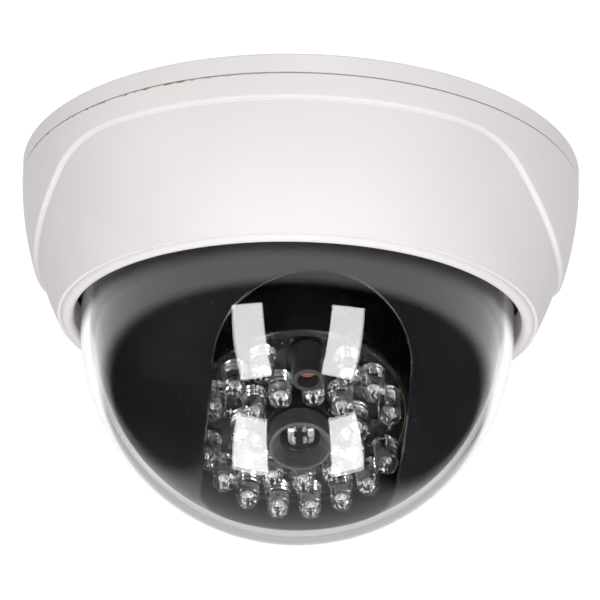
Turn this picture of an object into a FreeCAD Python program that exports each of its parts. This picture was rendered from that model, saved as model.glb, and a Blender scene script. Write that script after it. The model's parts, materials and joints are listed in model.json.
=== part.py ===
import FreeCAD, Part
import math
import os
import Sketcher

# Ceiling dome camera: a twist-off cover with a clear dome hangs on a ceiling plate; inside it a pan frame
# carries a black slotted liner and a camera head that tilts, and the lens turns in its holder to focus.
# Millimetres. Origin: centre of the ceiling face. +Z points up into the ceiling, the dome's front is -Y.

os.makedirs("parts", exist_ok=True)
doc = FreeCAD.newDocument("dome_camera")
sheet = doc.addObject("Spreadsheet::Sheet", "Sheet")
sheet.Label = "dimensions"

DIMENSIONS = {
    # ceiling plate
    "plate_radius": 64.0,
    "plate_edge_radius": 63.84,
    "seam_depth": 4.3,
    "floor_thick": 2.6,
    "spigot_radius": 60.6,
    "spigot_wall": 2.0,
    "spigot_depth": 9.5,
    "back_recess": 0.8,
    "ceiling_pcd": 96.0,
    "ceiling_hole_radius": 2.2,
    "cable_hole_y": 22.0,
    "grommet_bore_radius": 3.5,
    "lug_arc": 16.0,
    # pan bearing
    "ring_bore": 38.3,
    "ring_radius": 42.0,
    "ring_depth": 15.8,
    "ring_screw_radius": 40.2,
    "disc_radius": 38.0,
    "disc_top": 13.0,
    "disc_thick": 2.5,
    # cover and dome
    "cover_curve": 78.0,
    "cover_gap": 0.2,
    "panel_recess": 1.2,
    "cover_wall": 1.8,
    "band_depth": 9.8,
    "ear_depth": 25.7,
    "ear_curve": 68.0,
    "ear_fillet": 25.0,
    "opening_radius": 50.6,
    "opening_depth": 37.9,
    "collar_top": 30.0,
    "collar_wall": 1.5,
    "dome_radius": 48.94,
    "dome_wall": 2.0,
    "dome_depth": 37.5,
    "dome_flange_radius": 55.0,
    "dome_screw_radius": 53.5,
    # pan frame and liner
    "pan_rest": 10.0,
    "liner_radius": 45.7,
    "liner_wall": 1.3,
    "liner_top": 20.3,
    "slot_half": 20.7,
    "slot_high": 32.2,
    "slot_low": 79.5,
    "arm_inside": 27.6,
    "arm_thick": 2.6,
    "pivot_depth": 47.5,
    "pin_radius": 1.5,
    "journal_radius": 3.0,
    "lead_radius": 1.0,
    "running_gap": 0.05,
    # camera head, measured forward from the tilt axis
    "tilt_rest": 31.3,
    "head_radius": 24.9,
    "head_wall": 1.4,
    "head_rim": 17.2,
    "board_front": 16.15,
    "board_thick": 1.6,
    "board_radius": 23.3,
    "led_radius": 2.5,
    "led_flange_radius": 2.9,
    "led_base": 17.15,
    "led_dome": 23.25,
    "outer_ring": 20.3,
    "inner_ring": 12.45,
    "board_roll": 2.0,
    "sensor_front": 4.6,
    # lens
    "thread_radius": 5.95,
    "lens_head_radius": 6.85,
    "lens_front": 25.95,
    "lens_head_back": 21.0,
}
for row, (word, number) in enumerate(DIMENSIONS.items(), start=1):
    sheet.set(f"A{row}", word)
    sheet.set(f"B{row}", str(number))
    sheet.setAlias(f"B{row}", word)
doc.recompute()


class Size:
    """A length or an angle: its value, and the sheet expression that the model is bound to."""

    def __init__(self, value, text):
        self.value = value
        self.text = text

    def __add__(self, other):
        other = as_size(other)
        return Size(self.value + other.value, f"({self.text} + {other.text})")

    def __sub__(self, other):
        other = as_size(other)
        return Size(self.value - other.value, f"({self.text} - {other.text})")

    def __mul__(self, other):
        other = as_size(other)
        return Size(self.value * other.value, f"({self.text} * {other.text})")

    def __neg__(self):
        return Size(-self.value, f"(0 - {self.text})")

    def __truediv__(self, other):
        other = as_size(other)
        return Size(self.value / other.value, f"({self.text} / {other.text})")


def as_size(item):
    """A bare number as a Size."""
    if isinstance(item, Size):
        return item
    return Size(float(item), f"({float(item)})")


def dim(word):
    """The driving dimension of that name."""
    return Size(DIMENSIONS[word], f"Sheet.{word}")


def cosine(size):
    """Cosine of an angle in degrees."""
    size = as_size(size)
    return Size(math.cos(math.radians(size.value)), f"cos({size.text})")


def sine(size):
    """Sine of an angle in degrees."""
    size = as_size(size)
    return Size(math.sin(math.radians(size.value)), f"sin({size.text})")


def root(size):
    """Square root."""
    return Size(math.sqrt(size.value), f"sqrt({size.text})")


def arc_reach(radius, offset):
    """How far a circle of that radius reaches sideways at that offset from its centre."""
    return root(radius * radius - offset * offset)


def bind(item, prop, size):
    """Sets a property from a size and ties it to the sheet when the size comes from there."""
    size = as_size(size)
    if "Sheet" in size.text:
        item.setExpression(prop, size.text)
    elif prop.isidentifier():
        setattr(item, prop, size.value)


def vector(x, y, z):
    return FreeCAD.Vector(as_size(x).value, as_size(y).value, as_size(z).value)


AXES = {
    "x": FreeCAD.Rotation(FreeCAD.Vector(0, 1, 0), 90),
    "y": FreeCAD.Rotation(FreeCAD.Vector(1, 0, 0), -90),
    "z": FreeCAD.Rotation(),
}


def put(item, x, y, z, rotation=AXES["z"]):
    """Places a primitive, each coordinate tied to the sheet."""
    item.Placement = FreeCAD.Placement(vector(x, y, z), rotation)
    for letter, size in zip("xyz", (x, y, z)):
        bind(item, f"Placement.Base.{letter}", size)
    return item


def cylinder(radius, height, x=0, y=0, z=0, along="z", rotation=None):
    item = doc.addObject("Part::Cylinder", "cylinder")
    bind(item, "Radius", radius)
    bind(item, "Height", height)
    return put(item, x, y, z, rotation or AXES[along])


def box(x_size, y_size, z_size, x, y, z, turn=0.0):
    """A block centred on x and y that stands on z, turned about the vertical through the origin."""
    item = doc.addObject("Part::Box", "block")
    bind(item, "Length", x_size)
    bind(item, "Width", y_size)
    bind(item, "Height", z_size)
    x, y, z = as_size(x), as_size(y), as_size(z)
    corner_x = x - as_size(x_size) / 2
    corner_y = y - as_size(y_size) / 2
    return put(
        item,
        corner_x * cosine(turn) - corner_y * sine(turn),
        corner_x * sine(turn) + corner_y * cosine(turn),
        z,
        FreeCAD.Rotation(FreeCAD.Vector(0, 0, 1), turn),
    )


def sector(inner, outer, low, high, middle, arc):
    """A piece of a ring between two radii and two heights, its arc centred on an angle."""
    whole = doc.addObject("Part::Cylinder", "sector")
    bind(whole, "Radius", outer)
    bind(whole, "Height", as_size(high) - low)
    bind(whole, "Angle", arc)
    turn = FreeCAD.Rotation(FreeCAD.Vector(0, 0, 1), middle - as_size(arc).value / 2)
    put(whole, 0, 0, low, turn)
    return cut(whole, cylinder(inner, as_size(high) - low, 0, 0, low))


def fuse(*items):
    joined = doc.addObject("Part::MultiFuse", "fused")
    joined.Shapes = list(items)
    return joined


def cut(base, *tools):
    result = doc.addObject("Part::Cut", "cut")
    result.Base = base
    result.Tool = tools[0] if len(tools) == 1 else fuse(*tools)
    return result


def common(first, second):
    result = doc.addObject("Part::Common", "common")
    result.Base = first
    result.Tool = second
    return result


def group(items):
    result = doc.addObject("Part::Compound", "group")
    result.Links = list(items)
    return result


def outline(body, role, corners):
    """A closed, fully constrained sketch on one of the body's own planes. Each corner is (x, y), or
    (x, y, radius, side) where an arc of that radius leads to the next corner, turning left for side 1."""
    sketch = body.newObject("Sketcher::SketchObject", "outline")
    plane = [item for item in body.Origin.OriginFeatures if item.Role == role][0]
    sketch.AttachmentSupport = [(plane, "")]
    sketch.MapMode = "FlatFace"
    count = len(corners)
    points = [vector(corner[0], corner[1], 0) for corner in corners]
    ends = []
    for index, corner in enumerate(corners):
        start, end = points[index], points[(index + 1) % count]
        if len(corner) == 2:
            sketch.addGeometry(Part.LineSegment(start, end))
            ends.append((1, 2))
            continue
        radius, side = as_size(corner[2]).value, corner[3]
        chord = end - start
        left = FreeCAD.Vector(-chord.y, chord.x, 0).normalize() * side
        rise = math.sqrt(max(radius**2 - chord.Length**2 / 4, 0.0))
        centre = (start + end) / 2 + left * rise
        between = centre - left * radius
        sketch.addGeometry(Part.Arc(start, between, end))
        ends.append((1, 2) if side > 0 else (2, 1))
    for index in range(count):
        following = (index + 1) % count
        sketch.addConstraint(
            Sketcher.Constraint("Coincident", index, ends[index][1], following, ends[following][0])
        )
    for index, corner in enumerate(corners):
        start = ends[index][0]
        for kind, size, axis in (("DistanceX", corner[0], -2), ("DistanceY", corner[1], -1)):
            size = as_size(size)
            if size.value == 0:
                sketch.addConstraint(Sketcher.Constraint("PointOnObject", index, start, axis))
                continue
            number = sketch.addConstraint(Sketcher.Constraint(kind, -1, 1, index, start, size.value))
            bind(sketch, f"Constraints[{number}]", size)
        if len(corner) == 4:
            radius = as_size(corner[2])
            number = sketch.addConstraint(Sketcher.Constraint("Radius", index, radius.value))
            bind(sketch, f"Constraints[{number}]", radius)
    return sketch


def turned(corners):
    """A body turned about Z from an outline in radius and height."""
    body = doc.addObject("PartDesign::Body", "turned")
    sketch = outline(body, "XZ_Plane", corners)
    feature = body.newObject("PartDesign::Revolution", "revolution")
    feature.Profile = sketch
    feature.ReferenceAxis = (sketch, ["V_Axis"])
    feature.Angle = 360
    return body


def ring(inner, outer, low, high):
    """A plain ring of rectangular section."""
    return turned([(inner, low), (outer, low), (outer, high), (inner, high)])


def around(radius, angles):
    """Points on a circle, each as x and y."""
    return [(as_size(radius) * cosine(angle), as_size(radius) * sine(angle)) for angle in angles]


def copies(master, places):
    """Separate copies of one solid at a list of placements."""
    doc.recompute()
    result = doc.addObject("Part::Feature", "copies")
    solids = []
    for place in places:
        solid = master.Shape.copy()
        solid.Placement = place.multiply(solid.Placement)
        solids.append(solid)
    result.Shape = Part.Compound(solids)
    return result


def at(x, y, z, rotation=AXES["z"]):
    return FreeCAD.Placement(vector(x, y, z), rotation)


finished = {}


def finish(name, item, place=None):
    """Names a sub-part and puts it in its place in the assembly."""
    if place is not None:
        if item.ExpressionEngine:
            item = group([item])
        item.Placement = place
    item.Label = name
    finished[name] = item


# Poses of the assembly: the pan frame turned about Z, and the head tilted about its trunnions.
PAN = FreeCAD.Placement(
    FreeCAD.Vector(0, 0, 0), FreeCAD.Rotation(FreeCAD.Vector(0, 0, 1), DIMENSIONS["pan_rest"])
)
TILT = PAN.multiply(
    FreeCAD.Placement(
        vector(0, 0, -dim("pivot_depth")),
        FreeCAD.Rotation(FreeCAD.Vector(1, 0, 0), -DIMENSIONS["tilt_rest"]),
    )
)

CEILING_HOLES = (90.0, 210.0, 330.0)
LUGS = (30.0, 150.0, 270.0)
CLIP_SCREWS = (45.0, 135.0, 225.0, 315.0)
HOOKS = (90.0, 225.0, 315.0)


def pan_head_screw(shank_radius, shank_length, head_radius, head_height):
    """A pan-head screw, point down, the head's seat at z = 0, with a cross recess."""
    body = turned(
        [
            (0, -shank_length),
            (shank_radius * 0.4, -shank_length),
            (shank_radius, -shank_length + shank_radius),
            (shank_radius, 0),
            (head_radius, 0),
            (head_radius, head_height * 0.45, head_radius, 1),
            (head_radius * 0.45, head_height),
            (0, head_height),
        ]
    )
    slot_width = head_radius * 0.3
    slot_length = head_radius * 1.15
    depth = head_height * 0.55
    return cut(
        body,
        box(slot_length, slot_width, depth * 2, 0, 0, head_height - depth),
        box(slot_width, slot_length, depth * 2, 0, 0, head_height - depth),
    )


def base_plate():
    """Moulded ceiling plate: flat floor, outer rim, bayonet spigot with lugs, and the pan bearing ring."""
    spigot_inner = dim("spigot_radius") - dim("spigot_wall")
    floor = -dim("floor_thick")
    bearing_inner = dim("ring_bore") - 1.8
    shell = turned(
        [
            (0, 0),
            (0, floor),
            (bearing_inner, floor),
            (bearing_inner, -12.4),
            (dim("ring_bore"), -12.4),
            (dim("ring_bore"), -dim("ring_depth")),
            (dim("ring_radius"), -dim("ring_depth")),
            (dim("ring_radius"), floor),
            (spigot_inner, floor),
            (spigot_inner, -dim("spigot_depth")),
            (dim("spigot_radius"), -dim("spigot_depth")),
            (dim("spigot_radius"), -dim("seam_depth")),
            (dim("plate_edge_radius"), -dim("seam_depth")),
            (dim("plate_radius"), -1.0),
            (dim("plate_radius"), -0.4),
            (dim("plate_radius") - 0.4, 0),
        ]
    )
    added = []
    lug_top = -dim("spigot_depth") + 1.5
    for angle in LUGS:
        added.append(
            sector(
                dim("spigot_radius") - 0.5,
                dim("spigot_radius") + 0.8,
                -dim("spigot_depth"),
                lug_top,
                angle,
                dim("lug_arc"),
            )
        )
        stop = angle - DIMENSIONS["lug_arc"] / 2 - 1.2
        added.append(
            sector(
                dim("spigot_radius") - 0.5,
                dim("spigot_radius") + 0.8,
                -dim("spigot_depth"),
                -dim("seam_depth") - 0.2,
                stop,
                2.0,
            )
        )
    for angle in range(0, 360, 45):
        rib = box(16.0, 1.2, 4.0, 50.2, 0, floor - 4.0, float(angle) + 22.5)
        added.append(rib)
    for x, y in BOARD_SCREWS:
        added.append(cylinder(2.6, 4.9, x, y, floor - 4.4))
    added.append(box(3.0, 3.0, 2.4, 0, bearing_inner - 0.6, -12.4))
    holes = []
    for x, y in around(dim("ceiling_pcd") / 2, CEILING_HOLES):
        added.append(cylinder(5.0, 2.4, x, y, floor - 2.0))
        holes.append(cylinder(dim("ceiling_hole_radius"), 12.0, x, y, -8.0))
    holes.append(cylinder(5.5, 12.0, 0, dim("cable_hole_y"), -8.0))
    for x, y in BOARD_SCREWS:
        holes.append(cylinder(1.15, 5.4, x, y, floor - 4.5))
    for x, y in around(dim("ring_screw_radius"), CLIP_SCREWS):
        holes.append(cylinder(0.85, 6.0, x, y, -dim("ring_depth") - 0.1))
    recess = ring(13.0, 57.5, -dim("back_recess"), 1.0)
    pads = [
        cylinder(6.5, 3.0, x, y, -1.5) for x, y in around(dim("ceiling_pcd") / 2, CEILING_HOLES)
    ]
    for angle in range(0, 360, 60):
        pads.append(box(42.0, 1.6, 3.0, 37.0, 0, -1.5, float(angle)))
    holes.append(cut(recess, *pads))
    return cut(fuse(shell, *added), *holes)


BOARD_SCREWS = ((-20.0, -20.0), (20.0, -20.0), (-20.0, 7.0), (20.0, 7.0))


def cable_grommet():
    """Rubber grommet: two flanges and a neck in the plate's cable hole."""
    bore = dim("grommet_bore_radius")
    seat = -dim("back_recess")
    floor = -dim("floor_thick")
    neck = 5.45
    flange = 7.4
    return turned(
        [
            (bore, floor - 1.4),
            (flange, floor - 1.4),
            (flange, floor),
            (neck, floor),
            (neck, seat),
            (flange, seat),
            (flange - 0.4, seat + 0.6),
            (bore, seat + 0.6),
        ]
    )


def main_board():
    """Power and video board on the plate's four bosses."""
    top = -dim("floor_thick") - 4.4
    board = box(46.0, 36.0, 1.6, 0, -7.0, top - 1.6)
    holes = [cylinder(1.35, 4.0, x, y, top - 3.0) for x, y in BOARD_SCREWS]
    return cut(board, *holes)


def board_under():
    """Underside of the main board."""
    return -dim("floor_thick") - 6.0


def main_board_chips():
    """Moulded chips and the switching coil under the main board."""
    under = board_under()
    return group(
        [
            box(7.0, 7.0, 1.4, -8.0, -16.0, under - 1.4),
            box(5.0, 4.0, 1.5, 6.0, -18.0, under - 1.5),
            box(6.5, 6.5, 2.8, 15.0, -10.0, under - 2.8),
            box(3.0, 1.5, 1.0, -15.0, -8.0, under - 1.0),
            box(3.0, 1.5, 1.0, -15.0, -4.0, under - 1.0),
        ]
    )


def main_board_capacitors():
    """Electrolytic capacitors standing under the main board."""
    under = board_under()
    places = ((12.0, 4.0), (-12.0, 3.0), (-19.0, -13.0))
    return group([cylinder(2.5, 3.2, x, y, under - 3.2) for x, y in places])


def main_board_socket():
    """Socket for the camera lead, on the pan axis, and the inlet socket on top of the board."""
    under = board_under()
    shell = box(9.0, 6.0, 2.6, 0, 0, under - 2.6)
    hollow = cylinder(dim("lead_radius") + 0.05, 3.0, 0, 0, under - 2.8)
    inlet = box(12.0, 5.0, 3.2, 0, 6.0, under + 1.6)
    return group([cut(shell, hollow), inlet])


def pan_retainer():
    """Flat ring under the bearing ring that keeps the pan disc up."""
    top = -dim("ring_depth")
    plain = ring(36.4, dim("ring_radius"), top - 2.0, top)
    holes = [
        cylinder(1.15, 4.0, x, y, top - 3.0)
        for x, y in around(dim("ring_screw_radius"), CLIP_SCREWS)
    ]
    return cut(plain, *holes)


def flipped_screws(master, radius, angles, z):
    """Screws driven upwards, heads down, on a circle."""
    upside = FreeCAD.Rotation(FreeCAD.Vector(1, 0, 0), 180)
    return copies(master, [at(x, y, z, upside) for x, y in around(radius, angles)])


def cover_profile(drop, bottom):
    """Outline of a solid with the cover's outer curve, set in by drop, from the seam to a depth."""
    top_radius = dim("plate_edge_radius") - drop
    lower = dim("plate_radius") - dim("cover_curve") - drop
    lower = lower + arc_reach(dim("cover_curve"), as_size(bottom) - 1.0)
    return [
        (0, -dim("seam_depth") - dim("cover_gap")),
        (0, -bottom),
        (lower, -bottom, dim("cover_curve"), 1),
        (top_radius, -dim("seam_depth") - dim("cover_gap")),
    ]


def ear_prism():
    """The band round the top and the two ears, seen from the side, drawn out across the whole width."""
    fillet = dim("ear_fillet")
    curve = dim("ear_curve")
    band = dim("band_depth")
    centre = curve - dim("ear_depth")
    start = arc_reach(curve + fillet, centre + band + fillet)
    touch_y = start * curve / (curve + fillet)
    touch_z = (centre + band + fillet) * curve / (curve + fillet)
    low = centre - touch_z
    body = doc.addObject("PartDesign::Body", "ears")
    sketch = outline(
        body,
        "YZ_Plane",
        [
            (-75.0, 5.0),
            (-75.0, -band),
            (-start, -band, fillet, -1),
            (-touch_y, low, curve, 1),
            (touch_y, low, fillet, -1),
            (start, -band),
            (75.0, -band),
            (75.0, 5.0),
        ],
    )
    pad = body.newObject("PartDesign::Pad", "across")
    pad.Profile = sketch
    pad.Length = 160.0
    pad.Midplane = True
    return body


def cover_shell():
    """Moulded cover: band and ears proud of the front and rear panels, lip round the opening, collar
    and screw bosses that carry the dome, and three bayonet lugs."""
    seam = -dim("seam_depth") - dim("cover_gap")
    panel_bottom = 36.6
    lip_bottom = -dim("opening_depth")
    proud = common(turned(cover_profile(as_size(0), 30.0)), ear_prism())
    recessed = turned(cover_profile(dim("panel_recess"), panel_bottom))
    lip = turned(
        [
            (0, -30.0),
            (0, lip_bottom + 0.7),
            (dim("opening_radius"), lip_bottom + 0.7, 1.7, 1),
            (dim("opening_radius") + 2.9, lip_bottom + 0.9),
            (dim("opening_radius") + 2.9, -30.0),
        ]
    )
    inner_drop = dim("panel_recess") + dim("cover_wall")
    inner_curve = dim("plate_radius") - dim("cover_curve") - inner_drop
    deep = 34.6
    step = dim("band_depth") + 0.4
    step_radius = inner_curve + arc_reach(dim("cover_curve"), step - 1.0)
    deep_radius = inner_curve + arc_reach(dim("cover_curve"), as_size(deep) - 1.0)
    collar = dim("opening_radius") + dim("collar_wall")
    hollow = turned(
        [
            (dim("opening_radius"), lip_bottom - 1.0),
            (dim("opening_radius"), -dim("collar_top")),
            (collar, -dim("collar_top")),
            (collar, -deep),
            (deep_radius, -deep, dim("cover_curve"), 1),
            (step_radius, -step),
            (dim("spigot_radius") + 1.0, -step),
            (dim("spigot_radius") + 1.0, seam + 1.0),
            (0, seam + 1.0),
            (0, lip_bottom - 1.0),
        ]
    )
    shell = cut(fuse(recessed, proud, lip), hollow)
    boss_bottom = as_size(34.8)
    added = [shell]
    holes = []
    for x, y in around(dim("dome_screw_radius"), CLIP_SCREWS):
        added.append(cylinder(1.5, boss_bottom - dim("collar_top"), x, y, -boss_bottom))
        holes.append(cylinder(0.85, 4.5, x, y, -34.0))
    for angle in LUGS:
        added.append(
            sector(
                dim("spigot_radius") + 0.2,
                dim("spigot_radius") + 1.3,
                -7.6,
                -6.0,
                angle,
                dim("lug_arc"),
            )
        )
    return cut(fuse(*added), *holes)


def dome():
    """Clear polycarbonate dome: hemisphere, short cylinder and a flange with four holes."""
    outer = dim("dome_radius")
    inner = outer - dim("dome_wall")
    equator = -dim("dome_depth")
    under = -dim("collar_top") + 0.7
    body = turned(
        [
            (0, equator - outer, outer, 1),
            (outer, equator),
            (outer, under),
            (dim("dome_flange_radius"), under),
            (dim("dome_flange_radius"), under + 2.0),
            (inner, under + 2.0),
            (inner, equator, inner, -1),
            (0, equator - inner),
        ]
    )
    holes = [
        cylinder(1.2, 4.0, x, y, under - 1.0)
        for x, y in around(dim("dome_screw_radius"), CLIP_SCREWS)
    ]
    return cut(body, *holes)


def dome_gasket():
    """Soft flat ring between the collar and the dome's flange."""
    low = -dim("collar_top")
    plain = ring(dim("opening_radius") + 0.1, dim("dome_flange_radius"), low, low + 0.7)
    holes = [
        cylinder(1.2, 2.0, x, y, low - 0.5)
        for x, y in around(dim("dome_screw_radius"), CLIP_SCREWS)
    ]
    return cut(plain, *holes)


def dome_retainer():
    """Ring that clamps the dome's flange."""
    low = -dim("collar_top") + 2.7
    inner = dim("dome_radius") - dim("dome_wall") + 2.3
    plain = ring(inner, dim("dome_flange_radius") + 0.3, low, low + 2.0)
    holes = [
        cylinder(1.2, 4.0, x, y, low - 1.0)
        for x, y in around(dim("dome_screw_radius"), CLIP_SCREWS)
    ]
    return cut(plain, *holes)


def pan_frame():
    """Disc that turns in the bearing ring, with two arms for the head and three hooks for the liner."""
    top = -dim("disc_top")
    under = top - dim("disc_thick")
    pivot = -dim("pivot_depth")
    pieces = [
        cylinder(dim("disc_radius"), dim("disc_thick"), 0, 0, under),
        box(3.0, 3.0, 2.3, 0, -33.8, top),
    ]
    holes = [cylinder(3.0, 20.0, 0, 0, -24.0)]
    arm_middle = dim("arm_inside") + dim("arm_thick") / 2
    for side in (-1.0, 1.0):
        height = dim("pivot_depth") + under
        pieces.append(box(dim("arm_thick"), 12.0, height, arm_middle * side, 0, pivot))
        start = arm_middle * side - dim("arm_thick") / 2
        pieces.append(cylinder(6.0, dim("arm_thick"), start, 0, pivot, "x"))
        pieces.append(box(2.0, 1.6, 12.0, arm_middle * side - 2.2 * side, 0, under - 12.0))
        pivot_radius = dim("journal_radius") if side > 0 else dim("pin_radius")
        holes.append(
            cylinder(pivot_radius + dim("running_gap"), 8.0, start - 2.0, 0, pivot, "x")
        )
    flange_under = -dim("liner_top") - 1.7
    for angle in HOOKS:
        hook_low = flange_under - 1.3
        pieces.append(box(1.5, 7.0, under - hook_low, 34.0, 0, hook_low, angle))
        pieces.append(box(2.1, 7.0, 1.0, 35.1, 0, hook_low, angle))
    return cut(fuse(*pieces), *holes)


def liner():
    """Black bowl inside the dome, with an open slot that the head looks through, and a flange that the
    pan frame's hooks hold."""
    outer = dim("liner_radius")
    inner = outer - dim("liner_wall")
    equator = -dim("dome_depth")
    top = -dim("liner_top")
    bowl = turned(
        [
            (0, equator - outer, outer, 1),
            (outer, equator),
            (outer, top),
            (35.3, top),
            (35.3, top - 1.7),
            (inner, top - 1.7),
            (inner, equator, inner, -1),
            (0, equator - inner),
        ]
    )
    high = math.radians(DIMENSIONS["slot_high"])
    low = math.radians(DIMENSIONS["slot_low"])
    half = dim("slot_half")
    tools = []
    for angle in (high, low):
        facing = FreeCAD.Vector(0, -math.cos(angle), -math.sin(angle))
        turn = FreeCAD.Rotation(FreeCAD.Vector(0, 0, 1), facing)
        tools.append(cylinder(half, 60.0, 0, 0, equator, rotation=turn))
    along = FreeCAD.Vector(0, -math.cos(high), -math.sin(high))
    across = FreeCAD.Vector(1, 0, 0)
    turn = FreeCAD.Rotation(along, across.cross(along), across, "XYZ")
    wedge = cylinder(60.0, half * 2, -half, 0, equator, rotation=turn)
    bind(wedge, "Angle", dim("slot_low") - dim("slot_high"))
    tools.append(wedge)
    return cut(bowl, *tools)


def camera_head():
    """Black cup that carries the boards: rim round the lamp board, seat, closed back, a trunnion boss
    for the tilt screw and a hollow journal that lets the camera lead in along the tilt axis."""
    outer = dim("head_radius")
    inner = outer - dim("head_wall")
    seat = -dim("board_front") + dim("board_thick")
    cup = turned(
        [
            (0, 8.0),
            (13.0, 8.0, 12.0, -1),
            (outer, -2.0),
            (outer, -dim("head_rim") + 0.4),
            (outer - 0.4, -dim("head_rim")),
            (inner, -dim("head_rim")),
            (inner, seat),
            (22.4, seat),
            (22.4, seat + 1.6),
            (inner, seat + 3.0),
            (inner, -2.0, 10.6, 1),
            (13.0, 6.4),
            (0, 6.4),
        ]
    )
    pieces = [cup]
    holes = []
    boss_end = dim("arm_inside") - 0.6
    boss_length = boss_end - 21.2
    pieces.append(cylinder(4.5, boss_length, -boss_end, 0, 0, "x"))
    pieces.append(cylinder(4.5, boss_length, 21.2, 0, 0, "x"))
    journal_end = dim("arm_inside") + dim("arm_thick") + 0.4
    pieces.append(cylinder(dim("journal_radius"), journal_end - 21.2, 21.2, 0, 0, "x"))
    holes.append(cylinder(dim("pin_radius"), 6.0, -28.0, 0, 0, "x"))
    holes.append(cylinder(dim("lead_radius") + 0.2, 14.0, 20.0, 0, 0, "x"))
    for x, y in SENSOR_SCREWS:
        pieces.append(cylinder(2.2, 9.8, x, y, -3.4))
        holes.append(cylinder(0.85, 6.0, x, y, -3.5))
    return cut(fuse(*pieces), *holes)


SENSOR_SCREWS = ((-12.0, -12.0), (12.0, -12.0), (-12.0, 12.0), (12.0, 12.0))
HOLDER_SCREWS = ((-10.0, 0.0), (10.0, 0.0))


def tilt_screw():
    """Shoulder screw with a slotted head, through the arm and into the head's trunnion boss."""
    head_start = -dim("arm_inside") - dim("arm_thick") - 1.7
    head = cylinder(3.0, 1.6, head_start, 0, 0, "x")
    shank = cylinder(dim("pin_radius"), -as_size(22.4) - head_start, head_start, 0, 0, "x")
    slot = box(1.2, 7.0, 0.8, head_start, 0, -0.4)
    return cut(fuse(shank, head), slot)


def tilt_washers():
    """Nylon friction washers between the head and the arms."""
    items = []
    gap = dim("arm_inside") - 0.6
    for start, hole_radius in ((-gap - 0.5, dim("pin_radius")), (gap, dim("journal_radius"))):
        disc = cylinder(4.2, 0.5, start, 0, 0, "x")
        hole = cylinder(hole_radius, 1.5, start - 0.5, 0, 0, "x")
        items.append(cut(disc, hole))
    return group(items)


# Lamps: the outer ring has 16 places with the two at the sides empty and room for the light sensor
# between its ends, and the inner ring has 11. Angles run from the head's lower side.
OUTER_PITCH = 20.5
OUTER_LAMPS = tuple(OUTER_PITCH * (step - 7.5) for step in range(16) if step not in (3, 12))
INNER_PITCH = 360.0 / 11.0
INNER_LAMPS = tuple(7.0 + INNER_PITCH * step for step in range(11))


def lamp_place(radius, angle):
    turned_angle = math.radians(angle + DIMENSIONS["board_roll"])
    return radius.value * math.sin(turned_angle), radius.value * math.cos(turned_angle)


def lamp_places():
    places = [lamp_place(dim("outer_ring"), angle) for angle in OUTER_LAMPS]
    return places + [lamp_place(dim("inner_ring"), angle) for angle in INNER_LAMPS]


def lamp():
    """One clear lamp: flange, body and domed tip, facing down."""
    radius = dim("led_radius")
    base = -dim("led_base")
    dome_start = -dim("led_dome")
    return turned(
        [
            (0, base),
            (0, dome_start - radius, radius, 1),
            (radius, dome_start),
            (radius, base - 1.0),
            (dim("led_flange_radius"), base - 1.0),
            (dim("led_flange_radius"), base),
        ]
    )


def lamp_leads():
    """Two tinned leads under each lamp, through the board, with a solder cone behind it."""
    pin = box(0.5, 0.5, 4.4, 0, 0, -dim("led_base") + 0.05)
    behind = -dim("board_front") + dim("board_thick")
    cone = doc.addObject("Part::Cone", "solder")
    cone.Radius1 = 1.0
    cone.Radius2 = 0.35
    cone.Height = 1.0
    put(cone, 0, 0, behind + 0.02)
    lead = fuse(pin, cone)
    places = []
    for x, y in lamp_places():
        angle = math.atan2(y, x)
        for side in (-1.27, 1.27):
            places.append(at(x - side * math.sin(angle), y + side * math.cos(angle), 0))
    return copies(lead, places)


def lamp_board():
    """Round board with the lens hole and a pair of holes for each lamp and for the light sensor."""
    low = -dim("board_front")
    plain = ring(7.7, dim("board_radius"), low, low + dim("board_thick"))
    hole = cylinder(0.42, 4.0, 0, 0, low - 1.0)
    places = []
    for x, y in lamp_places():
        angle = math.atan2(y, x)
        for side in (-1.27, 1.27):
            places.append(at(x - side * math.sin(angle), y + side * math.cos(angle), 0))
    for side in (-1.27, 1.27):
        places.append(at(side - 0.2, -CELL_DISTANCE, 0))
    return cut(plain, copies(hole, places))


CELL_DISTANCE = 19.4
CELL_LEAN = 9.0
SLEEVE_RADIUS = 3.4


def board_resistors():
    """Chip resistors between the two rings of lamps."""
    items = []
    low = -dim("board_front") - 0.55
    for angle in (-90.0, -60.0, 60.0, 90.0, 0.0, 120.0, -120.0):
        place = math.radians(angle)
        x, y = 16.4 * math.sin(place), 16.4 * math.cos(place)
        items.append(box(1.2, 2.0, 0.55, x, y, low))
    return group(items)


def cell_place():
    """Where the light sensor's sleeve stands on the board, leaning towards the lens."""
    lean = FreeCAD.Rotation(FreeCAD.Vector(1, 0, 0), CELL_LEAN)
    return at(-0.2, -CELL_DISTANCE, -dim("board_front"), lean)


def photocell_sleeve():
    """Black tube that shades the light sensor from the lamps."""
    return ring(2.35, SLEEVE_RADIUS, -9.3, -0.65)


def photocell():
    """Round light sensor on two short leads inside its sleeve."""
    disc = cylinder(2.25, 1.8, 0, 0, -6.4)
    leads = [cylinder(0.25, 4.7, side, 0, -4.7) for side in (-1.27, 1.27)]
    return fuse(disc, *leads)


def sensor_board():
    """Square board on four posts in the head."""
    low = -dim("sensor_front")
    board = box(29.0, 29.0, 1.2, 0, 0, low)
    holes = [cylinder(1.15, 4.0, x, y, low - 1.0) for x, y in SENSOR_SCREWS]
    holes += [cylinder(0.85, 4.0, x, y, low - 1.0) for x, y in HOLDER_SCREWS]
    return cut(board, *holes)


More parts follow.
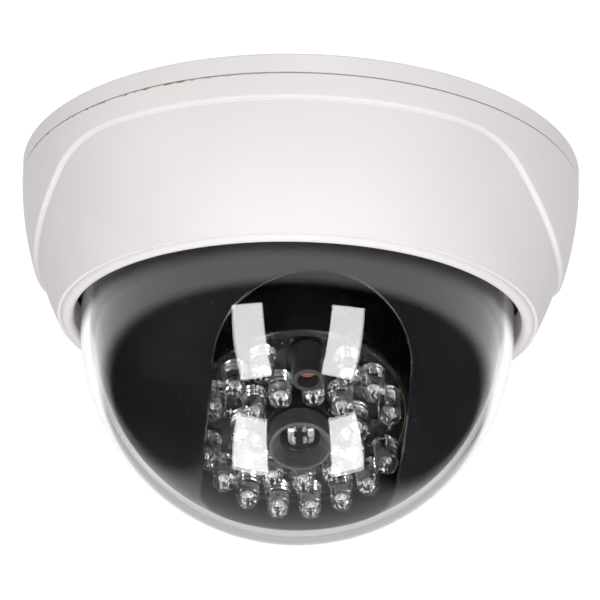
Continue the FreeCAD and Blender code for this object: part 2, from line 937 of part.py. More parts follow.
def lens_holder():
    """Holder with a foot on the sensor board and a tube with the focusing thread."""
    front = -dim("sensor_front")
    foot = box(24.0, 14.0, 2.2, 0, 0, front - 2.2)
    tube = cylinder(7.5, 15.4, 0, 0, front - 15.4)
    bore = cylinder(dim("thread_radius") + dim("running_gap"), 14.0, 0, 0, front - 16.4)
    room = box(11.0, 11.0, 2.5, 0, 0, front - 2.4)
    holes = [cylinder(1.15, 4.0, x, y, front - 3.0) for x, y in HOLDER_SCREWS]
    grub = cylinder(1.0, 4.0, 0, 0, front - 11.0, rotation=AXES["y"])
    grub.Placement.Base = FreeCAD.Vector(0, 5.0, front.value - 11.0)
    return cut(fuse(foot, tube), bore, room, grub, *holes)


def lens_barrel():
    """Threaded barrel with a wider head."""
    back = -9.0
    head_back = -dim("lens_head_back")
    front = -dim("lens_front")
    return turned(
        [
            (4.2, back),
            (dim("thread_radius"), back),
            (dim("thread_radius"), head_back),
            (dim("lens_head_radius"), head_back),
            (dim("lens_head_radius"), front + 0.3),
            (dim("lens_head_radius") - 0.3, front),
            (6.1, front),
            (6.1, front + 3.3),
            (4.65, front + 3.3),
            (4.65, front + 5.6),
            (3.6, front + 5.6),
            (3.6, back - 3.0),
            (4.2, back - 3.0),
        ]
    )


def lens_cone():
    """Screwed-in ring whose conical mouth holds the front glass."""
    front = -dim("lens_front")
    return turned(
        [
            (5.9, front + 0.15),
            (6.08, front + 0.15),
            (6.08, front + 3.28),
            (4.5, front + 3.28),
            (4.5, front + 3.0),
        ]
    )


def front_glass():
    """Front element: a disc with a domed face."""
    front = -dim("lens_front")
    return turned(
        [
            (0, front + 5.5),
            (0, front + 1.35, 5.4, 1),
            (4.4, front + 3.62),
            (4.6, front + 3.62),
            (4.6, front + 5.5),
        ]
    )


def rear_glass():
    """Rear element at the back of the barrel."""
    return turned([(0, -9.1), (0, -11.9), (4.15, -11.9), (4.15, -9.1)])


def lead(route):
    """The camera lead along straight runs joined by tangent arcs, each as large as its runs allow."""
    radius = DIMENSIONS["lead_radius"]
    points = [FreeCAD.Vector(*point) for point in route]
    edges = []
    start = points[0]
    for before, corner, after in zip(points, points[1:], points[2:]):
        arrive = (corner - before).normalize()
        leave = (after - corner).normalize()
        turn = arrive.getAngle(leave)
        shorter = min((corner - before).Length, (after - corner).Length)
        bend = 0.45 * shorter / math.tan(turn / 2)
        back = bend * math.tan(turn / 2)
        first = corner - arrive * back
        last = corner + leave * back
        inward = (leave - arrive).normalize()
        centre = corner + inward * (bend / math.cos(turn / 2))
        middle = centre - inward * bend
        edges.append(Part.LineSegment(start, first).toShape())
        edges.append(Part.Arc(first, middle, last).toShape())
        start = last
        print(f"lead bend radius {bend:.1f} mm")
    edges.append(Part.LineSegment(start, points[-1]).toShape())
    path = Part.Wire(edges)
    section = Part.Wire(Part.Circle(points[0], points[1] - points[0], radius).toShape())
    tube = path.makePipeShell([section], True, True)
    expected = math.pi * radius**2 * path.Length
    print(f"lead volume {tube.Volume:.1f}, section times length {expected:.1f}")
    item = doc.addObject("Part::Feature", "lead")
    item.Shape = tube
    return item


# Route of the camera lead on the pan frame: down the pan axis, out beside the arm, and in along the
# tilt axis; and its route in the head, from the hollow journal to the plug behind the sensor board.
PAN_LEAD = (
    (0.0, 0.0, -14.4),
    (0.0, 0.0, -19.4),
    (14.0, 9.0, -19.4),
    (31.0, 9.0, -20.2),
    (35.5, 8.0, -32.0),
    (38.0, 2.0, -41.0),
    (38.5, 0.0, -47.5),
    (31.2, 0.0, -47.5),
)
HEAD_LEAD = (
    (30.9, 0.0, 0.0),
    (20.0, 0.0, 0.0),
    (15.5, 0.0, -1.9),
    (11.2, 0.0, -1.9),
)


def head_plug():
    """Nylon plug and socket behind the sensor board, where the camera lead ends."""
    back = -dim("sensor_front") + 1.2
    shell = box(6.0, 5.0, 2.8, 9.0, 0, back)
    hollow = cylinder(dim("lead_radius") + 0.05, 2.0, 11.0, 0, -1.9, "x")
    return cut(shell, hollow)


def board_header():
    """Header strip that joins the lamp board to the sensor board."""
    low = -dim("board_front") + dim("board_thick")
    height = -dim("sensor_front") - low
    return box(6.0, 1.9, height, 0, 9.1, low)


def build():
    """Makes every sub-part and puts it in its place."""
    finish("base_plate", base_plate())
    finish("cable_grommet", cable_grommet(), at(0, DIMENSIONS["cable_hole_y"], 0))
    finish("main_board", main_board())
    finish("main_board_chips", main_board_chips())
    finish("main_board_capacitors", main_board_capacitors())
    finish("main_board_socket", main_board_socket())
    board_screw = pan_head_screw(1.1, 4.6, 2.2, 1.5)
    under = board_under().value
    upside = FreeCAD.Rotation(FreeCAD.Vector(1, 0, 0), 180)
    finish("main_board_screws", copies(board_screw, [at(x, y, under, upside) for x, y in BOARD_SCREWS]))
    finish("camera_lead_base", cylinder(dim("lead_radius"), 4.3, 0, 0, -14.3))
    finish("pan_friction_ring", ring(36.7, 37.8, -dim("disc_top") + 0.05, -12.4))
    finish("pan_retainer", pan_retainer())
    small_screw = pan_head_screw(0.8, 5.5, 1.7, 1.2)
    retainer_under = -dim("ring_depth") - 2.0
    finish(
        "pan_retainer_screws",
        flipped_screws(small_screw, dim("ring_screw_radius"), CLIP_SCREWS, retainer_under),
    )

    finish("cover_shell", cover_shell())
    finish("dome", dome())
    finish("dome_gasket", dome_gasket())
    finish("dome_retainer", dome_retainer())
    long_screw = pan_head_screw(0.8, 7.5, 1.5, 1.2)
    dome_screw_seat = -dim("collar_top") + 4.7
    finish(
        "dome_retainer_screws",
        copies(
            long_screw,
            [at(x, y, dome_screw_seat) for x, y in around(dim("dome_screw_radius"), CLIP_SCREWS)],
        ),
    )

    finish("pan_frame", pan_frame(), PAN)
    finish("liner", liner(), PAN)
    finish("camera_lead_pan", lead(PAN_LEAD), PAN)

    finish("camera_head", camera_head(), TILT)
    finish("tilt_screw", tilt_screw(), TILT)
    finish("tilt_washers", tilt_washers(), TILT)
    finish("lamp_board", lamp_board(), TILT)
    finish("board_resistors", board_resistors(), TILT)
    one_lamp = lamp()
    for name, radius, angles in (
        ("outer_lamps", dim("outer_ring"), OUTER_LAMPS),
        ("inner_lamps", dim("inner_ring"), INNER_LAMPS),
    ):
        places = [at(*lamp_place(radius, angle), 0) for angle in angles]
        finish(name, copies(one_lamp, places), TILT)
    finish("lamp_leads", lamp_leads(), TILT)
    finish("photocell_sleeve", photocell_sleeve(), TILT.multiply(cell_place()))
    finish("photocell", photocell(), TILT.multiply(cell_place()))
    finish("sensor_board", sensor_board(), TILT)
    finish("camera_lead_head", lead(HEAD_LEAD), TILT)
    finish("camera_lead_plug", head_plug(), TILT)
    finish("board_header", board_header(), TILT)
    finish("image_sensor", box(10.0, 10.0, 1.4, 0, 0, -dim("sensor_front") - 1.4), TILT)
    finish("infrared_filter", box(9.0, 9.0, 0.5, 0, 0, -dim("sensor_front") - 2.0), TILT)
    finish("lens_holder", lens_holder(), TILT)
    down = FreeCAD.Rotation(FreeCAD.Vector(1, 0, 0), 180)
    front = -DIMENSIONS["sensor_front"]
    sensor_screw = pan_head_screw(0.8, 4.5, 1.7, 1.2)
    finish(
        "sensor_board_screws",
        copies(sensor_screw, [at(x, y, front, down) for x, y in SENSOR_SCREWS]),
        TILT,
    )
    holder_screw = pan_head_screw(0.8, 3.3, 1.6, 1.2)
    finish(
        "lens_holder_screws",
        copies(holder_screw, [at(x, y, front - 2.2, down) for x, y in HOLDER_SCREWS]),
        TILT,
    )
    grub = cylinder(0.95, 1.4, 0, 0, 0, rotation=AXES["y"])
    grub.Placement.Base = FreeCAD.Vector(0, 6.1, front - 11.0)
    finish("lens_grub_screw", copies(grub, [at(0, 0, 0)]), TILT)

    finish("lens_barrel", lens_barrel(), TILT)
    finish("lens_cone", lens_cone(), TILT)
    finish("front_glass", front_glass(), TILT)
    finish("rear_glass", rear_glass(), TILT)


def check_and_write():
    """Stops on any failed feature, then writes one STEP file for each sub-part."""
    doc.recompute()
    for item in doc.Objects:
        if "Invalid" in item.State or "Error" in item.State:
            raise RuntimeError(f"{item.Name} ({item.Label}) failed: {item.State}")
    for name, item in finished.items():
        shape = item.Shape
        if shape.isNull() or not shape.isValid():
            raise RuntimeError(f"{name} has no valid shape")
        shape.exportStep(f"parts/{name}.step")
        print(f"{name}: {len(shape.Solids)} solids, {shape.Volume:.0f} mm3")


build()
check_and_write()
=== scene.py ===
import json
import math

import bmesh
import bpy
import numpy as np
from mathutils import Matrix, Vector


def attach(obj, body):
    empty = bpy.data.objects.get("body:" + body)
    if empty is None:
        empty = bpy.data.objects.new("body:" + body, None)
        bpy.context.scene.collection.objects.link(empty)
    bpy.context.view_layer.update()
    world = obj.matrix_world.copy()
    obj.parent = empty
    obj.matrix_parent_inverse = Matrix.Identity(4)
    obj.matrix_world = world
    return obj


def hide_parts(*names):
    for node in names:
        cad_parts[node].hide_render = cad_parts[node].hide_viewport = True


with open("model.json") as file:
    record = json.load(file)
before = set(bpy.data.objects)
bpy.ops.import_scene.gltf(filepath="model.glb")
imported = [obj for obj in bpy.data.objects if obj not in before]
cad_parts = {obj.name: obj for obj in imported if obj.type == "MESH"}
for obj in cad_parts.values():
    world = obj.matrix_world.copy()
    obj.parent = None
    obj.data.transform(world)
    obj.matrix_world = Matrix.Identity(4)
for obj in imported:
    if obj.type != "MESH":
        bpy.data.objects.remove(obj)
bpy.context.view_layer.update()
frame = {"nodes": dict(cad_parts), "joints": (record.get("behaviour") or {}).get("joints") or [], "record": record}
scene = bpy.context.scene
scene.view_settings.view_transform = "Standard"

# ---------------------------------------------------------------- camera, floor and light
# The dome hangs from the ceiling and is looked at from below, a little to the right of its
# front, with a long lens. The room is pale above and behind and dark elsewhere, with four soft
# boxes in front, and matt surfaces get a little more light from all sides.

LOOK_UP = math.radians(21.29)
LOOK_ASIDE = math.radians(4.5)
TILTED = math.radians(1.328)
DISTANCE = 0.600
AIM = Vector((0, 0, -0.040))
FLOOR_HEIGHT, FLOOR_HALF = -1.3, 6.0
DARK_ROOM, MATT_FILL, BACKDROP = 0.012, 0.22, 1.02

aside = Matrix.Rotation(LOOK_ASIDE, 3, "Z")
right = aside @ Vector((1, 0, 0))
upward = aside @ Vector((0, -math.sin(LOOK_UP), math.cos(LOOK_UP)))
backward = aside @ Vector((0, -math.cos(LOOK_UP), -math.sin(LOOK_UP)))
across = right * math.cos(TILTED) + upward * math.sin(TILTED)
upright = upward * math.cos(TILTED) - right * math.sin(TILTED)
eye = AIM + across * 0.000656 + upright * 0.008854 + backward * DISTANCE

lens = bpy.data.cameras.new("camera")
lens.sensor_width = 36.0
lens.lens = 159.3
camera = bpy.data.objects.new("camera", lens)
camera.matrix_world = Matrix((across, upright, backward)).transposed().to_4x4()
camera.location = eye
scene.collection.objects.link(camera)
scene.camera = camera


def node(tree, kind, inputs=None, **settings):
    """One shader node. inputs maps an input's name or number to a number, a colour or a socket."""
    made = tree.nodes.new("ShaderNode" + kind)
    for word, setting in settings.items():
        setattr(made, word, setting)
    for word, given in (inputs or {}).items():
        if isinstance(given, bpy.types.NodeSocket):
            tree.links.new(given, made.inputs[word])
        else:
            made.inputs[word].default_value = given
    return made


def sum_of(tree, operation, *values):
    """The result of one Math node."""
    return node(tree, "Math", dict(enumerate(values)), operation=operation).outputs[0]


def blend_of(tree, share, low, high):
    """A colour between low and high."""
    mix = node(tree, "Mix", {0: share, 6: low, 7: high}, data_type="RGBA")
    return mix.outputs[2]


def ramp_of(tree, value, low, high, to_low=0.0, to_high=1.0):
    """Smooth step of a value from to_low at low to to_high at high."""
    limits = {0: value, 1: low, 2: high, 3: to_low, 4: to_high}
    return node(tree, "MapRange", limits, interpolation_type="SMOOTHSTEP").outputs[0]


world = bpy.data.worlds.new("studio")
scene.world = world
world.use_nodes = True
sky = world.node_tree
sky.nodes.clear()
facing = node(sky, "TexCoord").outputs["Generated"]
away = aside @ Vector((0, 1, 0))
beside = aside @ Vector((1, 0, 0))
behind = node(sky, "VectorMath", {0: facing, 1: away}, operation="DOT_PRODUCT").outputs["Value"]
sideways = node(sky, "VectorMath", {0: facing, 1: beside}, operation="DOT_PRODUCT").outputs["Value"]
height = node(sky, "SeparateXYZ", {0: facing}).outputs["Z"]
above = ramp_of(sky, height, 0.02, 0.14)
ceiling = sum_of(sky, "MULTIPLY", above, ramp_of(sky, behind, 0.5, 0.85, 0.74, 1.09))
back_wall = sum_of(sky, "MULTIPLY", sum_of(sky, "POWER", sum_of(sky, "MAXIMUM", behind, 0.0), 3.0), 0.34)
back_wall = sum_of(sky, "ADD", back_wall, ramp_of(sky, behind, -0.4, 0.0, 0.0, 0.20))
to_side = sum_of(sky, "ABSOLUTE", sum_of(sky, "ADD", sideways, 0.03))
wall_width = ramp_of(sky, to_side, 0.44, 0.58, 1.0, 0.0)
room = sum_of(sky, "MAXIMUM", ceiling, sum_of(sky, "MULTIPLY", back_wall, wall_width))
room = sum_of(sky, "MAXIMUM", room, DARK_ROOM)
path = node(sky, "LightPath").outputs
room = sum_of(sky, "MULTIPLY_ADD", path["Is Diffuse Ray"], MATT_FILL, room)
backdrop = sum_of(sky, "MULTIPLY", path["Is Camera Ray"], BACKDROP)
strength = sum_of(sky, "MAXIMUM", room, backdrop)
shade = node(sky, "Background", {"Color": (1.0, 0.995, 0.99, 1.0), "Strength": strength})
node(sky, "OutputWorld", {"Surface": shade.outputs[0]})


def soft_box(name, sideways, below, wide, tall, roll, radiance, far=0.9):
    """A rectangular lamp sideways of straight ahead and below the horizon, in degrees, its size
    in metres, turned by roll in its own plane."""
    a, b = math.radians(sideways), math.radians(below)
    toward = Vector((math.sin(a), -math.cos(a) * math.cos(b), -math.cos(a) * math.sin(b)))
    level = Vector((math.cos(a), math.sin(a) * math.cos(b), math.sin(a) * math.sin(b)))
    axes = Matrix((level, toward.cross(level), toward)).transposed()
    lamp = bpy.data.lights.new(name, "AREA")
    lamp.shape = "RECTANGLE"
    lamp.size, lamp.size_y = wide, tall
    lamp.energy = radiance * math.pi * wide * tall
    made = bpy.data.objects.new(name, lamp)
    made.matrix_world = (aside @ axes @ Matrix.Rotation(math.radians(roll), 3, "Z")).to_4x4()
    made.location = Vector((0, 0, -0.0375)) + aside @ toward * far
    made.visible_camera = False
    scene.collection.objects.link(made)


soft_box("upper_left_box", -23.7, 27.9, 0.255, 0.600, 10, 7.1)
soft_box("upper_right_box", 24.0, 27.2, 0.270, 0.570, -9, 7.1)
soft_box("lower_left_box", -19.1, 87.0, 0.230, 0.530, 6, 7.4)
soft_box("lower_right_box", 22.2, 87.0, 0.208, 0.560, -2, 7.3)

floor_mesh = bpy.data.meshes.new("floor")
floor_corners = [
    (x * FLOOR_HALF, y * FLOOR_HALF, FLOOR_HEIGHT) for x, y in ((-1, -1), (1, -1), (1, 1), (-1, 1))
]
floor_mesh.from_pydata(floor_corners, [], [(0, 1, 2, 3)])
floor = bpy.data.objects.new("floor", floor_mesh)
scene.collection.objects.link(floor)
floor.visible_diffuse = False
floor.visible_glossy = False
floor.visible_transmission = False
floor.visible_shadow = False
pale = bpy.data.materials.new("pale_floor")
pale.use_nodes = True
speckle = node(pale.node_tree, "TexNoise", {"Scale": 3.0, "Detail": 3.0}).outputs[0]
tint = blend_of(pale.node_tree, speckle, (0.80, 0.80, 0.79, 1), (0.86, 0.86, 0.85, 1))
paint = pale.node_tree.nodes["Principled BSDF"]
pale.node_tree.links.new(tint, paint.inputs["Base Color"])
paint.inputs["Roughness"].default_value = 0.8
floor_mesh.materials.append(pale)

# ---------------------------------------------------------------- shared surface effects
# Moulded plastic, turned metal and printed boards all show a fine grain, faint rub marks and a
# little dust. Each effect is one group, and every material joins them in its own way.


def new_group(name, inputs, outputs):
    """An empty node group with named inputs and outputs, each (name, kind, default)."""
    tree = bpy.data.node_groups.new(name, "ShaderNodeTree")
    for direction, sockets in (("INPUT", inputs), ("OUTPUT", outputs)):
        for word, kind, default in sockets:
            made = tree.interface.new_socket(
                name=word, in_out=direction, socket_type="NodeSocket" + kind
            )
            if default is not None:
                made.default_value = default
    start = tree.nodes.new("NodeGroupInput")
    end = tree.nodes.new("NodeGroupOutput")
    return tree, start.outputs, end.inputs


grain_group, given, result = new_group(
    "fine_grain",
    [("Place", "Vector", None), ("Per mm", "Float", 4.0), ("Depth", "Float", 0.2)],
    [("Normal", "Vector", None)],
)
scaled = node(grain_group, "VectorMath", {0: given["Place"], 3: given["Per mm"]}, operation="SCALE")
pebbles = node(grain_group, "TexNoise", {"Vector": scaled.outputs[0], "Scale": 1.0, "Detail": 3.0})
swell = node(grain_group, "TexNoise", {"Vector": given["Place"], "Scale": 0.09, "Detail": 1.0})
swell_part = sum_of(grain_group, "MULTIPLY", swell.outputs[0], 0.5)
level = sum_of(grain_group, "ADD", pebbles.outputs[0], swell_part)
bump = node(grain_group, "Bump", {"Strength": given["Depth"], "Height": level, "Distance": 0.00004})
grain_group.links.new(bump.outputs[0], result["Normal"])

wear_group, given, result = new_group(
    "handling",
    [("Place", "Vector", None), ("Per mm", "Float", 0.05)],
    [("Smudge", "Float", None), ("Scratch", "Float", None), ("Dust", "Float", None)],
)
scaled = node(wear_group, "VectorMath", {0: given["Place"], 3: given["Per mm"]}, operation="SCALE")
cloud = node(wear_group, "TexNoise", {"Vector": scaled.outputs[0], "Scale": 1.0, "Detail": 5.0})
smudge = ramp_of(wear_group, cloud.outputs[0], 0.35, 0.65)
drawn = node(wear_group, "VectorMath", {0: given["Place"], 1: (0.05, 1.9, 2.6)}, operation="MULTIPLY")
hair = node(wear_group, "TexNoise", {"Vector": drawn.outputs[0], "Scale": 1.0, "Detail": 2.0})
scratch = ramp_of(wear_group, hair.outputs[0], 0.70, 0.78)
cells = node(wear_group, "TexVoronoi", {"Vector": given["Place"], "Scale": 0.55})
near = ramp_of(wear_group, cells.outputs["Distance"], 0.05, 0.10, 1.0, 0.0)
chance = node(wear_group, "SeparateXYZ", {0: cells.outputs["Color"]}).outputs["X"]
dust = sum_of(wear_group, "MULTIPLY", near, ramp_of(wear_group, chance, 0.80, 0.86))
for word, socket in (("Smudge", smudge), ("Scratch", scratch), ("Dust", dust)):
    wear_group.links.new(socket, result[word])


class Surface:
    """A material with the shared grain and handling marks, and its sockets for further work."""

    def __init__(self, name, low, high, rough, grain=(4.0, 0.25), marks=0.05, metallic=0.0, **fixed):
        self.material = bpy.data.materials.new(name)
        self.material.use_nodes = True
        self.tree = self.material.node_tree
        self.shader = self.tree.nodes["Principled BSDF"]
        self.place = node(self.tree, "Attribute", attribute_name="spot").outputs["Vector"]
        fine = self.effect(grain_group, {"Place": self.place, "Per mm": grain[0], "Depth": grain[1]})
        wear = self.effect(wear_group, {"Place": self.place, "Per mm": marks})
        self.smudge = wear.outputs["Smudge"]
        self.scratch = wear.outputs["Scratch"]
        self.dust = wear.outputs["Dust"]
        self.colour = blend_of(self.tree, self.smudge, (*low, 1.0), (*high, 1.0))
        self.rough = sum_of(self.tree, "MULTIPLY_ADD", self.smudge, rough[1] - rough[0], rough[0])
        self.rough = sum_of(self.tree, "MULTIPLY_ADD", self.scratch, 0.08, self.rough)
        self.normal = fine.outputs["Normal"]
        self.set(Metallic=metallic, **fixed)
        self.join()

    def effect(self, group, inputs):
        made = self.tree.nodes.new("ShaderNodeGroup")
        made.node_tree = group
        for word, given in inputs.items():
            if isinstance(given, bpy.types.NodeSocket):
                self.tree.links.new(given, made.inputs[word])
            else:
                made.inputs[word].default_value = given
        return made

    def set(self, **fixed):
        for word, number in fixed.items():
            self.shader.inputs[word.replace("_", " ")].default_value = number

    def join(self):
        """Connects the present colour, roughness and normal to the shader."""
        self.tree.links.new(self.colour, self.shader.inputs["Base Color"])
        self.tree.links.new(self.rough, self.shader.inputs["Roughness"])
        self.tree.links.new(self.normal, self.shader.inputs["Normal"])

    def paint(self, mask, colour, rough=None):
        """Another colour, and roughness, where the mask is 1."""
        self.colour = blend_of(self.tree, mask, self.colour, (*colour, 1.0))
        if rough is not None:
            share = sum_of(self.tree, "MULTIPLY", mask, rough)
            rest = sum_of(self.tree, "SUBTRACT", 1.0, mask)
            self.rough = sum_of(self.tree, "MULTIPLY_ADD", self.rough, rest, share)
        self.join()

    def let_lamps_through(self):
        """Light reaches what is behind: shadow rays meet a plain see-through shader instead."""
        open_way = node(self.tree, "BsdfTransparent", {"Color": (0.93, 0.93, 0.93, 1)})
        shadow = node(self.tree, "LightPath").outputs["Is Shadow Ray"]
        choices = {0: shadow, 1: self.shader.outputs[0], 2: open_way.outputs[0]}
        both = node(self.tree, "MixShader", choices)
        self.tree.links.new(both.outputs[0], self.tree.nodes["Material Output"].inputs["Surface"])


# ---------------------------------------------------------------- shared shapes
# Nearly all of the camera's parts are turned or moulded round shapes with small rounded edges.
# Shapes are (points, faces) in millimetres and become pieces in metres.

HEAD_JOINT = next(joint for joint in frame["joints"] if joint["name"] == "tilt")
LENS_JOINT = next(joint for joint in frame["joints"] if joint["name"] == "focus_turn")
HEAD_PLACE = np.array(HEAD_JOINT["pos_m"]) * 1000
head_z = -np.array(LENS_JOINT["axis"])
head_x = -np.array(HEAD_JOINT["axis"])
HEAD_AXES = np.stack([head_x, np.cross(head_z, head_x), head_z], axis=1)


def rounded(corners, steps=5):
    """An outline of (r, z, cut) corners with each corner b cut back to p and q and curved:
    (1-s)^2 p + 2 s (1-s) b + s^2 q, for s from 0 to 1."""
    rows = np.array(corners, float)
    here, cut = rows[:, :2], rows[:, 2:]
    before, after = np.roll(here, 1, axis=0) - here, np.roll(here, -1, axis=0) - here
    far_before = np.linalg.norm(before, axis=1, keepdims=True)
    far_after = np.linalg.norm(after, axis=1, keepdims=True)
    cut = np.minimum(cut, 0.48 * np.minimum(far_before, far_after))
    p = (here + before / far_before * cut)[:, None]
    q = (here + after / far_after * cut)[:, None]
    s = np.linspace(0, 1, steps)[None, :, None]
    curve = ((1 - s) ** 2 * p + 2 * s * (1 - s) * here[:, None] + s**2 * q).reshape(-1, 2)
    kept = np.append(True, np.abs(np.diff(curve, axis=0)).sum(axis=1) > 1e-6)
    return curve[kept]


def arc(centre, radius, start, end, steps):
    """Points of a circle from one angle to another, in degrees."""
    angle = np.radians(np.linspace(start, end, steps))
    return np.stack([centre[0] + radius * np.cos(angle), centre[1] + radius * np.sin(angle)], 1)


def grid(points, wrap_rows=True, wrap_columns=True):
    """Four-sided faces between the neighbours of a grid of points."""
    rows, columns = points.shape[:2]
    number = np.arange(rows * columns).reshape(rows, columns)
    if wrap_rows:
        number = np.vstack([number, number[:1]])
    if wrap_columns:
        number = np.hstack([number, number[:, :1]])
    faces = np.stack([number[:-1, :-1], number[:-1, 1:], number[1:, 1:], number[1:, :-1]], axis=-1)
    return points.reshape(-1, 3), faces.reshape(-1, 4)


def lathe(outline, sides=96, closed=True):
    """x = r sin t, y = -r cos t, z = z over the outline and over t from 0 to a full turn."""
    t = np.linspace(0, 2 * np.pi, sides, endpoint=False)
    r, z = outline[:, :1], outline[:, 1:]
    points = np.stack([r * np.sin(t), -r * np.cos(t), z + 0 * t], axis=-1)
    return grid(points, wrap_rows=closed)


def sector(outline, middle, span, steps=16):
    """The outline carried along an arc round Z, with its two ends drawn in to a point."""
    t = np.radians(np.linspace(middle - span / 2, middle + span / 2, steps))
    t = np.concatenate([t[:1], t, t[-1:]])
    pinch = np.ones(steps + 2)
    pinch[[0, -1]] = 0.0
    centre = outline.mean(axis=0)
    r = centre[0] + (outline[:, :1] - centre[0]) * pinch
    z = centre[1] + (outline[:, 1:] - centre[1]) * pinch
    return grid(np.stack([r * np.cos(t), r * np.sin(t), z], axis=-1), wrap_columns=False)


def block(low, high, top=1.0):
    """A box between two corners, its far end in z scaled by top."""
    low, high = np.array(low, float), np.array(high, float)
    square = np.array([(-1, -1), (1, -1), (1, 1), (-1, 1)]) / 2
    near = square * (high - low)[:2]
    middle = (high + low)[:2] / 2
    points = np.concatenate(
        [
            np.column_stack([near + middle, np.full(4, low[2])]),
            np.column_stack([near * top + middle, np.full(4, high[2])]),
        ]
    )
    faces = [(0, 3, 2, 1), (4, 5, 6, 7), (0, 1, 5, 4), (1, 2, 6, 5), (2, 3, 7, 6), (3, 0, 4, 7)]
    return points, np.array(faces)


def tube(path, radius, sides=8):
    """A round wire along a path: each point plus radius (n cos a + b sin a), closed at both ends."""
    path = np.array(path, float)
    ahead = np.gradient(path, axis=0)
    ahead /= np.linalg.norm(ahead, axis=1, keepdims=True)
    side = np.cross(ahead, np.array([0.31, 0.17, 0.93]))
    side /= np.linalg.norm(side, axis=1, keepdims=True)
    other = np.cross(ahead, side)
    a = np.linspace(0, 2 * np.pi, sides, endpoint=False)[None, :, None]
    rings = path[:, None] + radius * (side[:, None] * np.cos(a) + other[:, None] * np.sin(a))
    ends = np.repeat(path[[0, -1]][:, None], sides, axis=1)
    return grid(np.concatenate([ends[:1], rings, ends[1:]]), wrap_rows=False)


def together(*shapes):
    """Several shapes as one."""
    starts = np.cumsum([0] + [len(shape[0]) for shape in shapes[:-1]])
    points = np.concatenate([shape[0] for shape in shapes])
    return points, np.concatenate([shape[1] + start for shape, start in zip(shapes, starts)])


def repeated(shape, places, turns=None):
    """Copies of a shape at each place, each turned about Z by its own angle."""
    points, faces = shape
    places = np.array(places, float)
    turns = np.zeros(len(places)) if turns is None else np.array(turns)
    c, s = np.cos(turns)[:, None], np.sin(turns)[:, None]
    x = points[:, 0] * c - points[:, 1] * s + places[:, :1]
    y = points[:, 0] * s + points[:, 1] * c + places[:, 1:2]
    z = points[:, 2] + places[:, 2:]
    step = np.arange(len(places))[:, None, None] * len(points)
    return np.stack([x, y, z], axis=-1).reshape(-1, 3), (faces[None] + step).reshape(-1, 4)


def moved(shape, axes=np.eye(3), place=(0, 0, 0)):
    """The same shape in other axes and at another place."""
    return shape[0] @ np.array(axes).T + np.array(place), shape[1]


def piece(name, shape, finish, body, slot, replaced=(), spot=None, sharp=38, flat=False, bevel=0.0):
    """Makes a closed mesh with a spot attribute in millimetres, rides it on its body and hides
    the nodes it stands for."""
    points, faces = shape
    mesh = bpy.data.meshes.new(name)
    mesh.from_pydata((points * 0.001).tolist(), [], faces.tolist())
    spots = mesh.attributes.new("spot", "FLOAT_VECTOR", "POINT")
    spots.data.foreach_set("vector", np.asarray(points if spot is None else spot, np.float32).ravel())
    work = bmesh.new()
    work.from_mesh(mesh)
    bmesh.ops.remove_doubles(work, verts=work.verts, dist=1.5e-6)
    bmesh.ops.dissolve_degenerate(work, edges=work.edges, dist=1e-6)
    if flat:
        bmesh.ops.dissolve_limit(
            work, angle_limit=math.radians(0.4), verts=work.verts, edges=work.edges
        )
    bmesh.ops.recalc_face_normals(work, faces=work.faces)
    work.to_mesh(mesh)
    work.free()
    mesh.shade_smooth()
    mesh.set_sharp_from_angle(angle=math.radians(sharp))
    mesh.materials.append(finish.material)
    made = bpy.data.objects.new(name, mesh)
    scene.collection.objects.link(made)
    if bevel:
        edge = made.modifiers.new("edge", "BEVEL")
        edge.width = bevel * 0.001
        edge.segments = 2
        edge.limit_method = "ANGLE"
        edge.angle_limit = math.radians(sharp)
    even = made.modifiers.new("even", "WEIGHTED_NORMAL")
    even.keep_sharp = True
    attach(made, body)
    if replaced:
        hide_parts(*replaced)
    return made


def in_head(name, shape, finish, slot, replaced=(), body="head", **more):
    """A piece drawn in the head's own axes, with the lens looking down its -Z."""
    return piece(
        name, moved(shape, HEAD_AXES, HEAD_PLACE), finish, body, slot, replaced, shape[0], **more
    )


BODY_OF = {
    name: body
    for body, names in frame["record"]["behaviour"]["bodies"].items()
    for name in names
}
SLOT_OF = {row["node"]: row["material_slot"] for row in frame["record"]["subparts"]}


def finished(finish, *names, bevel=0.12):
    """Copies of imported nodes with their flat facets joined, small edges broken and a real finish."""
    for name in names:
        data = frame["nodes"][name].data
        points = np.empty(len(data.vertices) * 3)
        data.vertices.foreach_get("co", points)
        points = points.reshape(-1, 3) * 1000
        corners = np.empty(len(data.loops), int)
        data.loops.foreach_get("vertex_index", corners)
        body = BODY_OF[name]
        spot = (points - HEAD_PLACE) @ HEAD_AXES if body in ("head", "lens") else points
        piece(
            name + "_finish",
            (points, corners.reshape(-1, 3)),
            finish,
            body,
            SLOT_OF[name],
            (name,),
            spot,
            flat=True,
            bevel=bevel,
        )


# ---------------------------------------------------------------- ceiling plate
# White ABS plate with ribs and screw holes on its ceiling side and a thin rim that shows above
# the seam. Its grain is the satin of an eroded mould.

WHITE_LOW, WHITE_HIGH = (0.635, 0.605, 0.607), (0.665, 0.635, 0.637)
plate_white = Surface("plate_white", WHITE_LOW, WHITE_HIGH, (0.50, 0.60), (3.5, 0.5), 0.03)
plate_white.set(IOR=1.5)
plate_white.paint(plate_white.dust, (0.55, 0.52, 0.50))
finished(plate_white, "base_plate")

rubber = Surface(
    "rubber", (0.018, 0.018, 0.019), (0.04, 0.04, 0.042), (0.55, 0.75), (5.0, 0.6), 0.2
)
rubber.paint(rubber.dust, (0.20, 0.19, 0.18))
finished(rubber, "cable_grommet", "pan_friction_ring", "dome_gasket", bevel=0.2)

# ---------------------------------------------------------------- cover
# White ABS cover: a band round the top that runs down into two ears, with the front and rear
# panels set back from them behind a softly rounded ridge, and a round lip at the dome's opening.
# Reddish specks of dirt have settled in the seam at its top, mostly towards the left.

